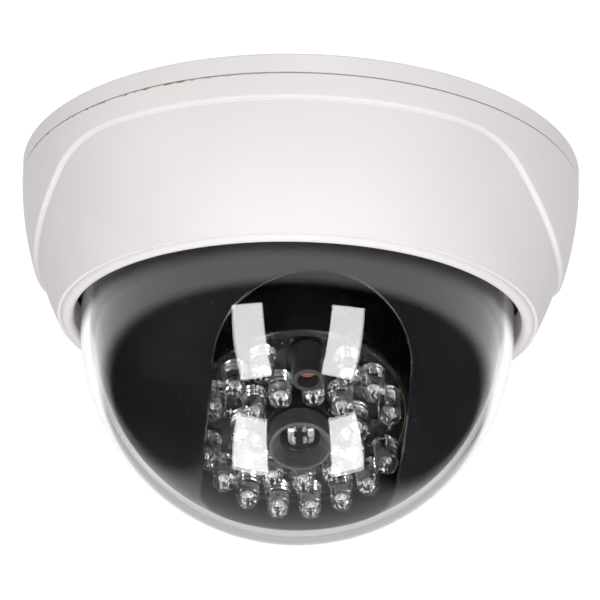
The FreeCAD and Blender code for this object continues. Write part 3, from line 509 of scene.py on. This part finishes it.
PLATE_RADIUS, COVER_CURVE = 64.0, 78.0
EAR_CURVE, EAR_FILLET, EAR_DEPTH, BAND_DEPTH = 68.0, 25.0, 25.7, 9.8
RECESS, WALL, SEAM = 1.2, 3.0, 4.5
OPENING, COLLAR, COLLAR_TOP, SPIGOT_ROOM = 50.6, 52.1, 30.0, 61.6
LIP_OUTER, PANEL_BOTTOM = 53.5, 36.6
CLIP_ANGLES = np.radians((45, 135, 225, 315))


def cover_reach(depth):
    """Outer radius at a depth: a circle of radius 78 that meets the plate's rim square on."""
    return PLATE_RADIUS - COVER_CURVE + np.sqrt(COVER_CURVE**2 - (depth - 1.0) ** 2)


def ridge_depth(y):
    """Depth of the ridge in the side view: the band's straight edge, then an arc of radius 25,
    then the ear's own circle of radius 68."""
    centre = EAR_CURVE - EAR_DEPTH
    both = EAR_CURVE + EAR_FILLET
    start = math.sqrt(both**2 - (centre + BAND_DEPTH + EAR_FILLET) ** 2)
    y = np.abs(y)
    turn = np.sqrt(np.maximum(EAR_FILLET**2 - (start - y) ** 2, 0))
    ear = np.sqrt(np.maximum(EAR_CURVE**2 - y**2, 0)) - centre
    curve = np.where(y < start * EAR_CURVE / both, ear, BAND_DEPTH + EAR_FILLET - turn)
    return np.where(y > start, BAND_DEPTH, curve)


def cover_shape(sides=384):
    """Round sections: for each angle t the outline starts in the seam, follows the band to the
    ridge at depth d(t), steps in, follows the panel to the lip and comes back inside."""
    t = np.linspace(0, 2 * np.pi, sides, endpoint=False)
    edge = np.full(sides, 12.0)
    for _ in range(8):
        edge = ridge_depth(cover_reach(edge) * np.cos(t))
    slope = (np.roll(edge, -1) - np.roll(edge, 1)) / (4 * np.pi / sides * cover_reach(edge))
    stretch = np.sqrt(1 + slope**2)
    top = rounded([(SPIGOT_ROOM, SEAM, 0), (PLATE_RADIUS, SEAM, 0.35), (PLATE_RADIUS, 6.0, 0)], 6)
    top[:, 0] -= PLATE_RADIUS
    step = rounded([(0, -1.2, 0), (0, 0, 0.95), (RECESS, 0, 0.28), (RECESS, 0.6, 0)], 8)
    rows = []
    for inset, depth in top:
        level = np.full(sides, depth)
        rows.append((cover_reach(level) + inset, level))
    first = edge + stretch * step[0, 1]
    for share in np.linspace(0, 1, 12)[1:-1]:
        level = 6.0 + (first - 6.0) * share
        rows.append((cover_reach(level), level))
    for inset, drop in step:
        level = edge + stretch * drop
        rows.append((cover_reach(level) - inset, level))
    last = edge + stretch * step[-1, 1]
    foot = PANEL_BOTTOM - 0.35
    for share in np.linspace(0, 1, 30)[1:]:
        level = last + (foot - last) * share
        rows.append((cover_reach(level) - RECESS, level))
    foot_radius = float(cover_reach(foot)) - RECESS
    lip = [
        rounded(
            [
                (foot_radius, foot, 0),
                (foot_radius - 0.1, PANEL_BOTTOM, 0.3),
                (LIP_OUTER, PANEL_BOTTOM, 0),
            ],
            6,
        ),
        arc((52.05, 36.10), 1.55, 20, 172, 22),
        rounded([(OPENING, 35.8, 0), (OPENING, COLLAR_TOP, 0.3), (COLLAR, COLLAR_TOP, 0.3)], 5),
    ]
    inner_depths = np.linspace(34.6, 10.2, 16)
    wall = np.stack([cover_reach(inner_depths) - WALL, inner_depths], axis=1)
    inside = np.concatenate([[(COLLAR, 31.0), (COLLAR, 34.6)], wall, [(SPIGOT_ROOM, 10.2)]])
    for radius, depth in np.concatenate([*lip, inside]):
        rows.append((np.full(sides, radius), np.full(sides, depth)))
    r = np.array([row[0] for row in rows])
    z = -np.array([row[1] for row in rows])
    return grid(np.stack([r * np.sin(t), -r * np.cos(t), z], axis=-1))


boss_outline = [(0.85, -34.0, 0.05), (1.5, -34.8, 0.1), (1.5, -30.0, 0.1), (0.85, -30.0, 0.1)]
boss = lathe(rounded(boss_outline), 24)
boss_places = [(53.5 * math.cos(a), 53.5 * math.sin(a), 0) for a in CLIP_ANGLES]
lug_outline = rounded([(60.8, -7.6, 0.2), (61.9, -7.6, 0.2), (61.9, -6.0, 0.2), (60.8, -6.0, 0.2)], 4)
lugs = [sector(lug_outline, angle, 16.0) for angle in (30, 150, 270)]

cover_white = Surface("cover_white", WHITE_LOW, WHITE_HIGH, (0.50, 0.60), (3.5, 0.5), 0.02)
cover_white.set(IOR=1.5)
cover_white.paint(sum_of(cover_white.tree, "MULTIPLY", cover_white.dust, 0.35), (0.45, 0.43, 0.42))
spot_parts = node(cover_white.tree, "SeparateXYZ", {0: cover_white.place}).outputs
grime = node(cover_white.tree, "TexNoise", {"Vector": cover_white.place, "Scale": 0.55, "Detail": 4.0})
at_seam = ramp_of(cover_white.tree, spot_parts["Z"], -5.0, -4.75)
leftward = ramp_of(cover_white.tree, spot_parts["X"], 12.0, -30.0)
specks = ramp_of(cover_white.tree, grime.outputs[0], 0.50, 0.60)
dirt = sum_of(cover_white.tree, "MULTIPLY", at_seam, specks)
cover_white.paint(sum_of(cover_white.tree, "MULTIPLY", dirt, leftward), (0.30, 0.11, 0.06), 0.7)
piece(
    "cover",
    together(cover_shape(), repeated(boss, boss_places), *lugs),
    cover_white,
    "cover",
    "white_abs_cover",
    ("cover_shell",),
)

# ---------------------------------------------------------------- dome and its ring
# Clear polycarbonate dome, 2 mm thick, polished inside and out, held by a flange above the
# collar. It carries a few specks of dust and faint streaks from wiping.

DOME_RADIUS, DOME_WALL, EQUATOR = 48.94, 2.0, -37.5
outside = arc((0, EQUATOR), DOME_RADIUS, -90, 0, 72)
inside = arc((0, EQUATOR), DOME_RADIUS - DOME_WALL, 0, -90, 72)
flange = rounded(
    [
        (DOME_RADIUS, -34.0, 0),
        (DOME_RADIUS, -29.3, 0.3),
        (55.0, -29.3, 0.3),
        (55.0, -27.3, 0.3),
        (DOME_RADIUS - DOME_WALL, -27.3, 0.4),
        (DOME_RADIUS - DOME_WALL, -34.0, 0),
    ]
)
clear = Surface(
    "clear_dome", (0.985, 0.985, 0.985), (1.0, 1.0, 1.0), (0.0, 0.012), (0.4, 0.004), 0.03
)
clear.set(Transmission_Weight=1.0, IOR=1.58)
drawn_down = node(clear.tree, "VectorMath", {0: clear.place, 1: (1.0, 1.0, 0.06)}, operation="MULTIPLY")
streak = node(clear.tree, "TexNoise", {"Vector": drawn_down.outputs[0], "Scale": 1.3, "Detail": 4.0})
clear.rough = ramp_of(clear.tree, streak.outputs[0], 0.45, 0.75, 0.004, 0.03)
clear.rough = sum_of(clear.tree, "MULTIPLY_ADD", clear.dust, 0.04, clear.rough)
clear.join()
clear.let_lamps_through()
piece(
    "dome_clear",
    lathe(np.concatenate([outside, flange, inside]), 216, closed=False),
    clear,
    "cover",
    "clear_dome",
    ("dome",),
)

black = Surface(
    "black_abs", (0.005, 0.005, 0.005), (0.009, 0.009, 0.010), (0.38, 0.50), (4.5, 0.5), 0.06
)
black.set(IOR=1.5)
black.paint(sum_of(black.tree, "MULTIPLY", black.dust, 0.3), (0.25, 0.24, 0.23))
finished(black, "dome_retainer", "pan_retainer", "pan_frame", bevel=0.2)

screw_metal = Surface(
    "zinc_steel", (0.52, 0.52, 0.53), (0.70, 0.70, 0.71), (0.22, 0.40), (9.0, 0.5), 0.6, metallic=1.0
)
screw_metal.paint(screw_metal.scratch, (0.40, 0.39, 0.38), 0.5)
finished(
    screw_metal,
    "main_board_screws",
    "pan_retainer_screws",
    "dome_retainer_screws",
    "tilt_screw",
    "sensor_board_screws",
    "lens_holder_screws",
    "lens_grub_screw",
    bevel=0.06,
)

# ---------------------------------------------------------------- liner
# Polished black bowl just inside the dome. A long rounded slot lets the camera look out, and its
# edge is a thin smooth lip. A flange at the top rests on the turning frame's hooks. The bowl
# turns with that frame, so it is drawn straight ahead and laid along the head's tilt axis.

LINER_RADIUS, LINER_WALL, SLOT_HALF = 45.7, 1.3, 20.7
SLOT_HIGH, SLOT_LOW = math.radians(32.2), math.radians(79.5)
SLOT_MIDDLE = (SLOT_HIGH + SLOT_LOW) / 2


def aimed(angle):
    """Direction straight ahead and this far below the horizon."""
    return np.array([0.0, -math.cos(angle), -math.sin(angle)])


def liner_shape(columns=320):
    """Great circles run from the slot's middle c in every heading h: c cos p + h sin p. Each
    starts at the slot's edge, found by halving, and ends at the horizon; from there the wall goes
    straight up, in over the flange and back down inside the same way."""
    a = np.linspace(0, 2 * np.pi, columns, endpoint=False)[:, None]
    centre = aimed(SLOT_MIDDLE)
    up = np.array([0.0, -math.sin(SLOT_MIDDLE), math.cos(SLOT_MIDDLE)])
    heading = np.array([1.0, 0, 0]) * np.cos(a) + up * np.sin(a)

    def ray(p):
        return centre * np.cos(p) + heading * np.sin(p)

    def slot_edge(radius):
        low, high = np.zeros((columns, 1)), np.full((columns, 1), 1.5)
        for _ in range(40):
            middle = (low + high) / 2
            way = ray(middle)
            dip = np.arctan2(-way[:, 2], -way[:, 1])
            nearest = np.clip(dip, SLOT_HIGH, SLOT_LOW)
            axis = np.stack([0 * dip, -np.cos(nearest), -np.sin(nearest)], axis=1)
            off = np.linalg.norm(way - (way * axis).sum(axis=1)[:, None] * axis, axis=1)
            out = (off * radius > SLOT_HALF)[:, None]
            low, high = np.where(out, low, middle), np.where(out, middle, high)
        return low

    horizon = np.arctan2(-centre[2], heading[:, 2:])
    outer, inner = LINER_RADIUS, LINER_RADIUS - LINER_WALL
    rows = []
    for radius, direction in ((outer, 1), (inner, -1)):
        edge = slot_edge(radius) + 0.35 / radius
        shares = np.linspace(0, 1, 36)[::direction]
        bowl = [radius * ray(edge + (horizon - edge) * share) + (0, 0, EQUATOR) for share in shares]
        if direction > 0:
            round_edge = [
                (radius - 0.35 + 0.35 * math.sin(b)) * ray(edge - 0.35 / radius * math.cos(b))
                + (0, 0, EQUATOR)
                for b in np.linspace(0, math.pi / 2, 6)[:-1]
            ]
            rows += round_edge + bowl
            way = ray(horizon)[:, :2]
            rim = rounded(
                [
                    (outer, -34.0, 0),
                    (outer, -20.3, 0.4),
                    (35.3, -20.3, 0.3),
                    (35.3, -22.0, 0.3),
                    (inner, -22.0, 0.4),
                    (inner, -34.0, 0),
                ]
            )
            rows += [np.column_stack([way * r, np.full(columns, z)]) for r, z in rim]
        else:
            round_edge = [
                (radius + 0.35 - 0.35 * math.sin(b)) * ray(edge - 0.35 / radius * math.cos(b))
                + (0, 0, EQUATOR)
                for b in np.linspace(math.pi / 2, 0, 6)[1:]
            ]
            rows += bowl + round_edge
    return grid(np.array(rows))


gloss = Surface(
    "gloss_black", (0.006, 0.006, 0.007), (0.010, 0.010, 0.011), (0.05, 0.11), (0.5, 0.02), 0.04
)
gloss.set(IOR=1.5)
gloss.paint(sum_of(gloss.tree, "MULTIPLY", gloss.dust, 0.25), (0.35, 0.34, 0.33), 0.6)
pan_axes = np.stack([head_x, np.cross((0, 0, 1), head_x), (0, 0, 1)], axis=1)
piece("bowl", moved(liner_shape(), pan_axes), gloss, "pan", "gloss_black_liner", ("liner",))

# ---------------------------------------------------------------- main board and leads
# Green board behind the turning frame with its chips, two electrolytic cans and the socket for
# the camera lead, whose grey jacket runs down through the axes.

green = Surface(
    "green_board", (0.010, 0.090, 0.038), (0.016, 0.130, 0.055), (0.18, 0.28), (2.0, 0.1), 0.1
)
green.set(IOR=1.5)
weave = node(green.tree, "TexChecker", {"Vector": green.place, "Scale": 1.3}).outputs["Fac"]
green.paint(sum_of(green.tree, "MULTIPLY", weave, 0.25), (0.03, 0.20, 0.08))
tracks = node(
    green.tree, "TexBrick", {"Vector": green.place, "Scale": 0.35, "Mortar Size": 0.03}
).outputs["Fac"]
green.paint(sum_of(green.tree, "MULTIPLY", tracks, 0.7), (0.05, 0.30, 0.14), 0.2)
finished(green, "main_board", "sensor_board")

chip = Surface(
    "chip_black", (0.015, 0.015, 0.015), (0.03, 0.03, 0.03), (0.45, 0.6), (9.0, 0.7), 0.3
)
chip.paint(chip.scratch, (0.08, 0.08, 0.08))
finished(chip, "main_board_chips", "board_header", bevel=0.15)

can = Surface(
    "capacitor_can", (0.58, 0.58, 0.60), (0.72, 0.72, 0.74), (0.2, 0.35), (7.0, 0.3), 0.4, metallic=1.0
)
can.paint(can.scratch, (0.42, 0.42, 0.43), 0.45)
finished(can, "main_board_capacitors", bevel=0.3)

nylon = Surface("nylon", (0.76, 0.73, 0.66), (0.86, 0.83, 0.77), (0.35, 0.5), (3.0, 0.3), 0.2)
nylon.paint(nylon.dust, (0.45, 0.42, 0.38))
finished(nylon, "main_board_socket", "camera_lead_plug", "tilt_washers", bevel=0.1)

jacket = Surface(
    "lead_jacket", (0.18, 0.18, 0.19), (0.26, 0.26, 0.27), (0.45, 0.6), (3.0, 0.4), 0.2
)
jacket.paint(jacket.dust, (0.45, 0.44, 0.43))
finished(jacket, "camera_lead_base", "camera_lead_pan", "camera_lead_head", bevel=0.0)

# ---------------------------------------------------------------- camera head
# Black moulded cup that tilts between the frame's arms, with the sensor board, the lens holder
# and the lamp board inside. The cup's thin rim stands round the lamp board.

head_black = Surface(
    "head_black", (0.005, 0.005, 0.005), (0.008, 0.008, 0.009), (0.24, 0.34), (4.0, 0.4), 0.08
)
head_black.set(IOR=1.5)
head_black.paint(sum_of(head_black.tree, "MULTIPLY", head_black.dust, 0.3), (0.25, 0.24, 0.23))
finished(head_black, "camera_head", "lens_holder", bevel=0.15)

silicon = Surface(
    "image_sensor", (0.05, 0.05, 0.07), (0.09, 0.08, 0.13), (0.05, 0.1), (9.0, 0.05), 0.5
)
silicon.set(IOR=1.6, Coat_Weight=1.0, Coat_Roughness=0.03)
pixel_lines = node(
    silicon.tree, "TexBrick", {"Vector": silicon.place, "Scale": 2.0, "Mortar Size": 0.04}
)
silicon.paint(sum_of(silicon.tree, "MULTIPLY", pixel_lines.outputs["Fac"], 0.5), (0.30, 0.26, 0.14))
finished(silicon, "image_sensor", bevel=0.05)

filter_glass = Surface(
    "filter_glass", (0.55, 0.80, 0.78), (0.62, 0.86, 0.84), (0.0, 0.03), (1.0, 0.02), 0.3
)
filter_glass.set(Transmission_Weight=1.0, IOR=1.52)
filter_glass.let_lamps_through()
finished(filter_glass, "infrared_filter", bevel=0.05)

# ---------------------------------------------------------------- lamp board
# Round board with a glossy black mask. Its bare edge shows the yellowish laminate, each lead has
# a tinned pad, and two small white crosses mark it for the placing machine.

BOARD_FRONT, BOARD_RADIUS, BOARD_ROLL = -16.15, 23.3, 2.0
LEAD_SIDES = np.array([-1.27, 1.27])
CELL_PLACE = np.array([-0.2, -19.4, BOARD_FRONT])
OUTER_RING, INNER_RING = 20.3, 12.45
outer_angles = 20.5 * (np.delete(np.arange(16), (3, 12)) - 7.5)
inner_angles = 7.0 + np.arange(11) * 360.0 / 11.0
lamp_angles = np.radians(np.concatenate([outer_angles, inner_angles]) + BOARD_ROLL)
lamp_radii = np.repeat([OUTER_RING, INNER_RING], [len(outer_angles), len(inner_angles)])
lamp_x, lamp_y = lamp_radii * np.sin(lamp_angles), lamp_radii * np.cos(lamp_angles)
lamp_turns = np.arctan2(lamp_y, lamp_x)

mask = Surface(
    "black_mask", (0.004, 0.004, 0.004), (0.007, 0.007, 0.007), (0.10, 0.18), (2.0, 0.06), 0.1
)
mask.set(IOR=1.5)
flattened = node(mask.tree, "VectorMath", {0: mask.place, 1: (1, 1, 0)}, operation="MULTIPLY")
flat_place = flattened.outputs[0]
reach = node(mask.tree, "VectorMath", {0: flat_place}, operation="LENGTH").outputs["Value"]
rings = sum_of(mask.tree, "SINE", sum_of(mask.tree, "MULTIPLY", reach, 2.1))
islands = node(
    mask.tree, "TexVoronoi", {"Vector": flat_place, "Scale": 0.16}, feature="DISTANCE_TO_EDGE"
)
copper = ramp_of(mask.tree, islands.outputs["Distance"], 0.05, 0.07)
mask.paint(sum_of(mask.tree, "MULTIPLY", copper, 0.5), (0.009, 0.010, 0.010))
mask.paint(ramp_of(mask.tree, rings, 0.985, 0.995), (0.012, 0.013, 0.013))
mask.paint(ramp_of(mask.tree, reach, BOARD_RADIUS - 0.10, BOARD_RADIUS - 0.05), (0.34, 0.29, 0.12), 0.6)
mask.paint(sum_of(mask.tree, "MULTIPLY", mask.dust, 0.6), (0.35, 0.34, 0.32), 0.7)
finished(mask, "lamp_board", bevel=0.06)

tin = Surface(
    "tin", (0.62, 0.61, 0.58), (0.78, 0.77, 0.74), (0.12, 0.28), (6.0, 0.3), 0.5, metallic=1.0
)
tin.paint(tin.scratch, (0.45, 0.44, 0.42), 0.4)
finished(tin, "lamp_leads", bevel=0.0)

pad_outline = rounded(
    [
        (0.44, BOARD_FRONT - 0.01, 0),
        (0.50, BOARD_FRONT - 0.22, 0.1),
        (0.88, BOARD_FRONT - 0.07, 0.1),
        (0.90, BOARD_FRONT - 0.01, 0),
    ],
    4,
)
pad_x = (lamp_x[:, None] - LEAD_SIDES * np.sin(lamp_turns)[:, None]).ravel()
pad_y = (lamp_y[:, None] + LEAD_SIDES * np.cos(lamp_turns)[:, None]).ravel()
pad_x = np.append(pad_x, CELL_PLACE[0] + LEAD_SIDES)
pad_y = np.append(pad_y, CELL_PLACE[1] + 0 * LEAD_SIDES)
pads = repeated(lathe(pad_outline, 20), np.column_stack([pad_x, pad_y, 0 * pad_x]))
in_head("board_pads", pads, tin, "tinned_lead")

silk = Surface("white_print", (0.70, 0.70, 0.68), (0.82, 0.82, 0.80), (0.4, 0.6), (8.0, 0.5), 0.5)
silk.paint(silk.scratch, (0.30, 0.30, 0.29))
line_low, line_high = BOARD_FRONT - 0.035, BOARD_FRONT - 0.008
cross = together(
    block((-0.75, -0.11, line_low), (0.75, 0.11, line_high)),
    block((-0.11, -0.75, line_low), (0.11, 0.75, line_high)),
)
cross_places = [(-15.05, -0.66, 0), (15.3, 3.5, 0)]
in_head("board_crosses", repeated(cross, cross_places), silk, "black_board")

ceramic = Surface(
    "resistor", (0.02, 0.02, 0.022), (0.035, 0.035, 0.038), (0.2, 0.35), (8.0, 0.3), 0.4
)
ceramic.set(Coat_Weight=0.3, Coat_Roughness=0.1)
ceramic.paint(ceramic.dust, (0.4, 0.4, 0.4))
finished(ceramic, "board_resistors", bevel=0.08)

# ---------------------------------------------------------------- lamps
# Twenty-five clear 5 mm lamps. Each is a water-clear body with a flange and a domed tip, and
# shows the tinned frame inside it: a post, a wider anvil with a small cup, a chip and a wire.

LAMP_BASE, LAMP_SHOULDER, LAMP_RADIUS, LAMP_FLANGE = -17.15, -23.25, 2.5, 2.9
lamp_places = np.column_stack([lamp_x, lamp_y, 0 * lamp_x])
lamp_wall = rounded(
    [
        (0, LAMP_BASE, 0),
        (LAMP_FLANGE, LAMP_BASE, 0.2),
        (LAMP_FLANGE, LAMP_BASE - 1.0, 0.2),
        (LAMP_RADIUS, LAMP_BASE - 1.0, 0.12),
        (LAMP_RADIUS, LAMP_SHOULDER, 0),
    ],
    4,
)
lamp_tip = arc((0, LAMP_SHOULDER), LAMP_RADIUS, 0, -90, 12)[1:]
lamp_body = lathe(np.concatenate([lamp_wall, lamp_tip]), 32, closed=False)

epoxy = Surface(
    "clear_epoxy", (0.93, 0.94, 0.95), (0.98, 0.985, 0.99), (0.0, 0.03), (1.5, 0.05), 0.2
)
epoxy.set(Transmission_Weight=1.0, IOR=1.53)
epoxy.let_lamps_through()
for name, chosen in (("outer_lamps", lamp_radii > 15), ("inner_lamps", lamp_radii < 15)):
    bodies = repeated(lamp_body, lamp_places[chosen], lamp_turns[chosen])
    in_head(name + "_clear", bodies, epoxy, "lamp_epoxy", (name,))

cup_top = LAMP_SHOULDER + 0.65
cup_outline = rounded(
    [
        (0, cup_top + 0.55, 0),
        (0.32, cup_top + 0.55, 0.05),
        (0.62, cup_top, 0.03),
        (0.72, cup_top, 0.03),
        (0.70, cup_top + 1.1, 0.1),
        (0, cup_top + 1.1, 0),
    ],
    3,
)
wire_share = np.linspace(0, 1, 9)
wire = np.column_stack(
    [0 * wire_share, 1.3 * wire_share, cup_top + 0.4 - 1.3 * np.sin(np.pi * wire_share) * 0.6]
)
lamp_frame = together(
    lathe(cup_outline, 20, closed=False),
    block((-0.25, -1.52, cup_top + 0.9), (0.25, 0.75, cup_top + 2.9)),
    block((-0.25, -1.52, cup_top + 2.8), (0.25, -1.02, LAMP_BASE - 0.02)),
    block((-0.25, 1.02, cup_top + 0.5), (0.25, 1.52, LAMP_BASE - 0.02)),
    tube(wire, 0.03, 6),
)
silver = Surface(
    "silver", (0.46, 0.46, 0.45), (0.62, 0.61, 0.60), (0.24, 0.40), (7.0, 0.3), 0.5, metallic=1.0
)
silver.paint(silver.scratch, (0.55, 0.53, 0.50), 0.35)
in_head("lamp_frames", repeated(lamp_frame, lamp_places, lamp_turns), silver, "tinned_lead")

chips = repeated(block((-0.2, -0.2, cup_top + 0.3), (0.2, 0.2, cup_top + 0.5)), lamp_places, lamp_turns)
amber = Surface("lamp_chip", (0.16, 0.14, 0.11), (0.26, 0.22, 0.17), (0.2, 0.4), (9.0, 0.3), 0.5)
amber.paint(amber.scratch, (0.7, 0.66, 0.5))
in_head("lamp_chips", chips, amber, "chip_black")

# ---------------------------------------------------------------- light sensor
# Cadmium sulphide cell in a short black sleeve that leans a little towards the lens. Its
# ceramic face carries a winding dark red track, and two leads run down to the board.

CELL_LEAN = math.radians(9.0)
CELL_AXES = np.array(
    [
        (1, 0, 0),
        (0, math.cos(CELL_LEAN), -math.sin(CELL_LEAN)),
        (0, math.sin(CELL_LEAN), math.cos(CELL_LEAN)),
    ]
)
sleeve_outline = rounded([(2.35, -9.3, 0.2), (3.4, -9.3, 0.3), (3.4, -0.65, 0.2), (2.35, -0.65, 0.2)], 6)
sleeve_black = Surface(
    "sleeve", (0.010, 0.010, 0.011), (0.018, 0.018, 0.019), (0.28, 0.42), (4.0, 0.5), 0.2
)
sleeve_black.paint(sleeve_black.dust, (0.25, 0.24, 0.23))
sleeve = lathe(sleeve_outline, 56)
in_head(
    "cell_sleeve",
    moved(sleeve, CELL_AXES, CELL_PLACE),
    sleeve_black,
    "sleeve_black",
    ("photocell_sleeve",),
)

cell_outline = rounded([(0, -6.4, 0), (2.25, -6.4, 0.2), (2.25, -4.6, 0.2), (0, -4.6, 0)], 5)
cell = together(
    lathe(cell_outline, 48, closed=False),
    *(tube([(x, 0, -4.7), (x, 0, -3.0), (x, 0, 0.0)], 0.25, 12) for x in LEAD_SIDES),
)
cell_finish = Surface(
    "cell_face", (0.26, 0.20, 0.17), (0.34, 0.27, 0.22), (0.15, 0.3), (6.0, 0.2), 0.5
)
cell_finish.set(Coat_Weight=0.8, Coat_Roughness=0.05)
part = node(cell_finish.tree, "SeparateXYZ", {0: cell_finish.place}).outputs
sway = sum_of(cell_finish.tree, "SINE", sum_of(cell_finish.tree, "MULTIPLY", part["X"], 6.3))
track = sum_of(cell_finish.tree, "SINE", sum_of(cell_finish.tree, "MULTIPLY", part["Y"], 9.0))
bars = sum_of(cell_finish.tree, "MAXIMUM", track, sum_of(cell_finish.tree, "MULTIPLY", sway, 0.4))
face = ramp_of(cell_finish.tree, part["Z"], -6.33, -6.38)
winding = sum_of(cell_finish.tree, "MULTIPLY", ramp_of(cell_finish.tree, bars, 0.35, 0.6), face)
cell_finish.paint(winding, (0.34, 0.05, 0.03))
piece(
    "cell",
    moved(moved(cell, CELL_AXES, CELL_PLACE), HEAD_AXES, HEAD_PLACE),
    cell_finish,
    "head",
    "sensor_ceramic",
    ("photocell",),
    cell[0],
)

# ---------------------------------------------------------------- lens
# Black anodised M12 barrel with a wider head. The head's front ring is painted a little lighter,
# a stepped cone leads in to the domed front glass, and the glass has a purple coating.

FRONT = -25.95
anodised = Surface(
    "anodised", (0.030, 0.030, 0.032), (0.046, 0.046, 0.049), (0.34, 0.48), (7.0, 0.4), 0.4, metallic=0.3
)
barrel_place = node(anodised.tree, "VectorMath", {0: anodised.place, 1: (1, 1, 0)}, operation="MULTIPLY")
barrel_length = node(anodised.tree, "VectorMath", {0: barrel_place.outputs[0]}, operation="LENGTH")
barrel_reach = barrel_length.outputs["Value"]
barrel_z = node(anodised.tree, "SeparateXYZ", {0: anodised.place}).outputs["Z"]
# The front ring of the head and its rounded edge are painted a little lighter and rougher than the rest.
on_rim = sum_of(
    anodised.tree,
    "MULTIPLY",
    ramp_of(anodised.tree, barrel_z, FRONT + 0.35, FRONT + 0.05),
    ramp_of(anodised.tree, barrel_reach, 6.0, 6.3),
)
anodised.paint(sum_of(anodised.tree, "MULTIPLY", on_rim, 0.6), (0.050, 0.050, 0.053), 0.5)
turns_down = np.linspace(-10.0, -20.4, 84)
thread = np.column_stack([5.95 - 0.12 * (0.5 + 0.5 * np.cos(2 * np.pi * turns_down / 0.5)), turns_down])
barrel_outline = np.concatenate(
    [
        rounded(
            [
                (3.6, -12.0, 0),
                (4.2, -12.0, 0.1),
                (4.2, -9.0, 0.1),
                (5.83, -9.0, 0.2),
                (5.83, -10.0, 0),
            ]
        ),
        thread,
        rounded(
            [
                (5.83, -20.6, 0),
                (5.83, -21.0, 0.05),
                (6.85, -21.0, 0.15),
                (6.85, FRONT, 0.35),
                (6.1, FRONT, 0.12),
                (6.1, FRONT + 3.3, 0.05),
                (4.65, FRONT + 3.3, 0.05),
                (4.65, FRONT + 5.6, 0.05),
                (3.6, FRONT + 5.6, 0.05),
            ],
            6,
        ),
    ]
)
in_head("barrel", lathe(barrel_outline, 112), anodised, "lens_black", ("lens_barrel",), body="lens")

cone_steps = 9
cone_rows = np.linspace(0, 1, cone_steps + 1)
cone_r = np.repeat(6.08 + (4.5 - 6.08) * cone_rows, 2)[1:-1]
cone_z = np.repeat(FRONT + 0.15 + 3.0 * cone_rows, 2)[:-2]
cone_outline = np.concatenate(
    [
        np.column_stack([cone_r, cone_z]),
        rounded([(4.5, FRONT + 3.28, 0.05), (6.08, FRONT + 3.28, 0.05), (6.08, FRONT + 0.15, 0.02)], 4),
    ]
)
in_head("cone", lathe(cone_outline, 96), anodised, "lens_black", ("lens_cone",), body="lens")

coated = Surface(
    "coated_glass", (0.70, 0.64, 0.70), (0.76, 0.70, 0.76), (0.0, 0.015), (0.5, 0.01), 0.3
)
coated.set(Transmission_Weight=1.0, IOR=1.55)
coated.let_lamps_through()
cap = 5.4
cap_end = math.degrees(math.asin(4.4 / cap))
glass_outline = np.concatenate(
    [
        arc((0, FRONT + 1.35 + cap), cap, -90, -90 + cap_end, 20),
        rounded([(4.6, FRONT + 3.62, 0.1), (4.6, FRONT + 5.5, 0.2), (0, FRONT + 5.5, 0)], 4)[:-1],
        [(0, FRONT + 5.5)],
    ]
)
front_lens = lathe(glass_outline, 80, closed=False)
in_head("front_lens", front_lens, coated, "lens_glass", ("front_glass",), body="lens")
rear_outline = np.array([(0, -11.9), (4.15, -11.6), (4.15, -9.3), (0, -9.1)])
rear_lens = lathe(rear_outline, 56, closed=False)
in_head("rear_lens", rear_lens, coated, "lens_glass", ("rear_glass",), body="lens")
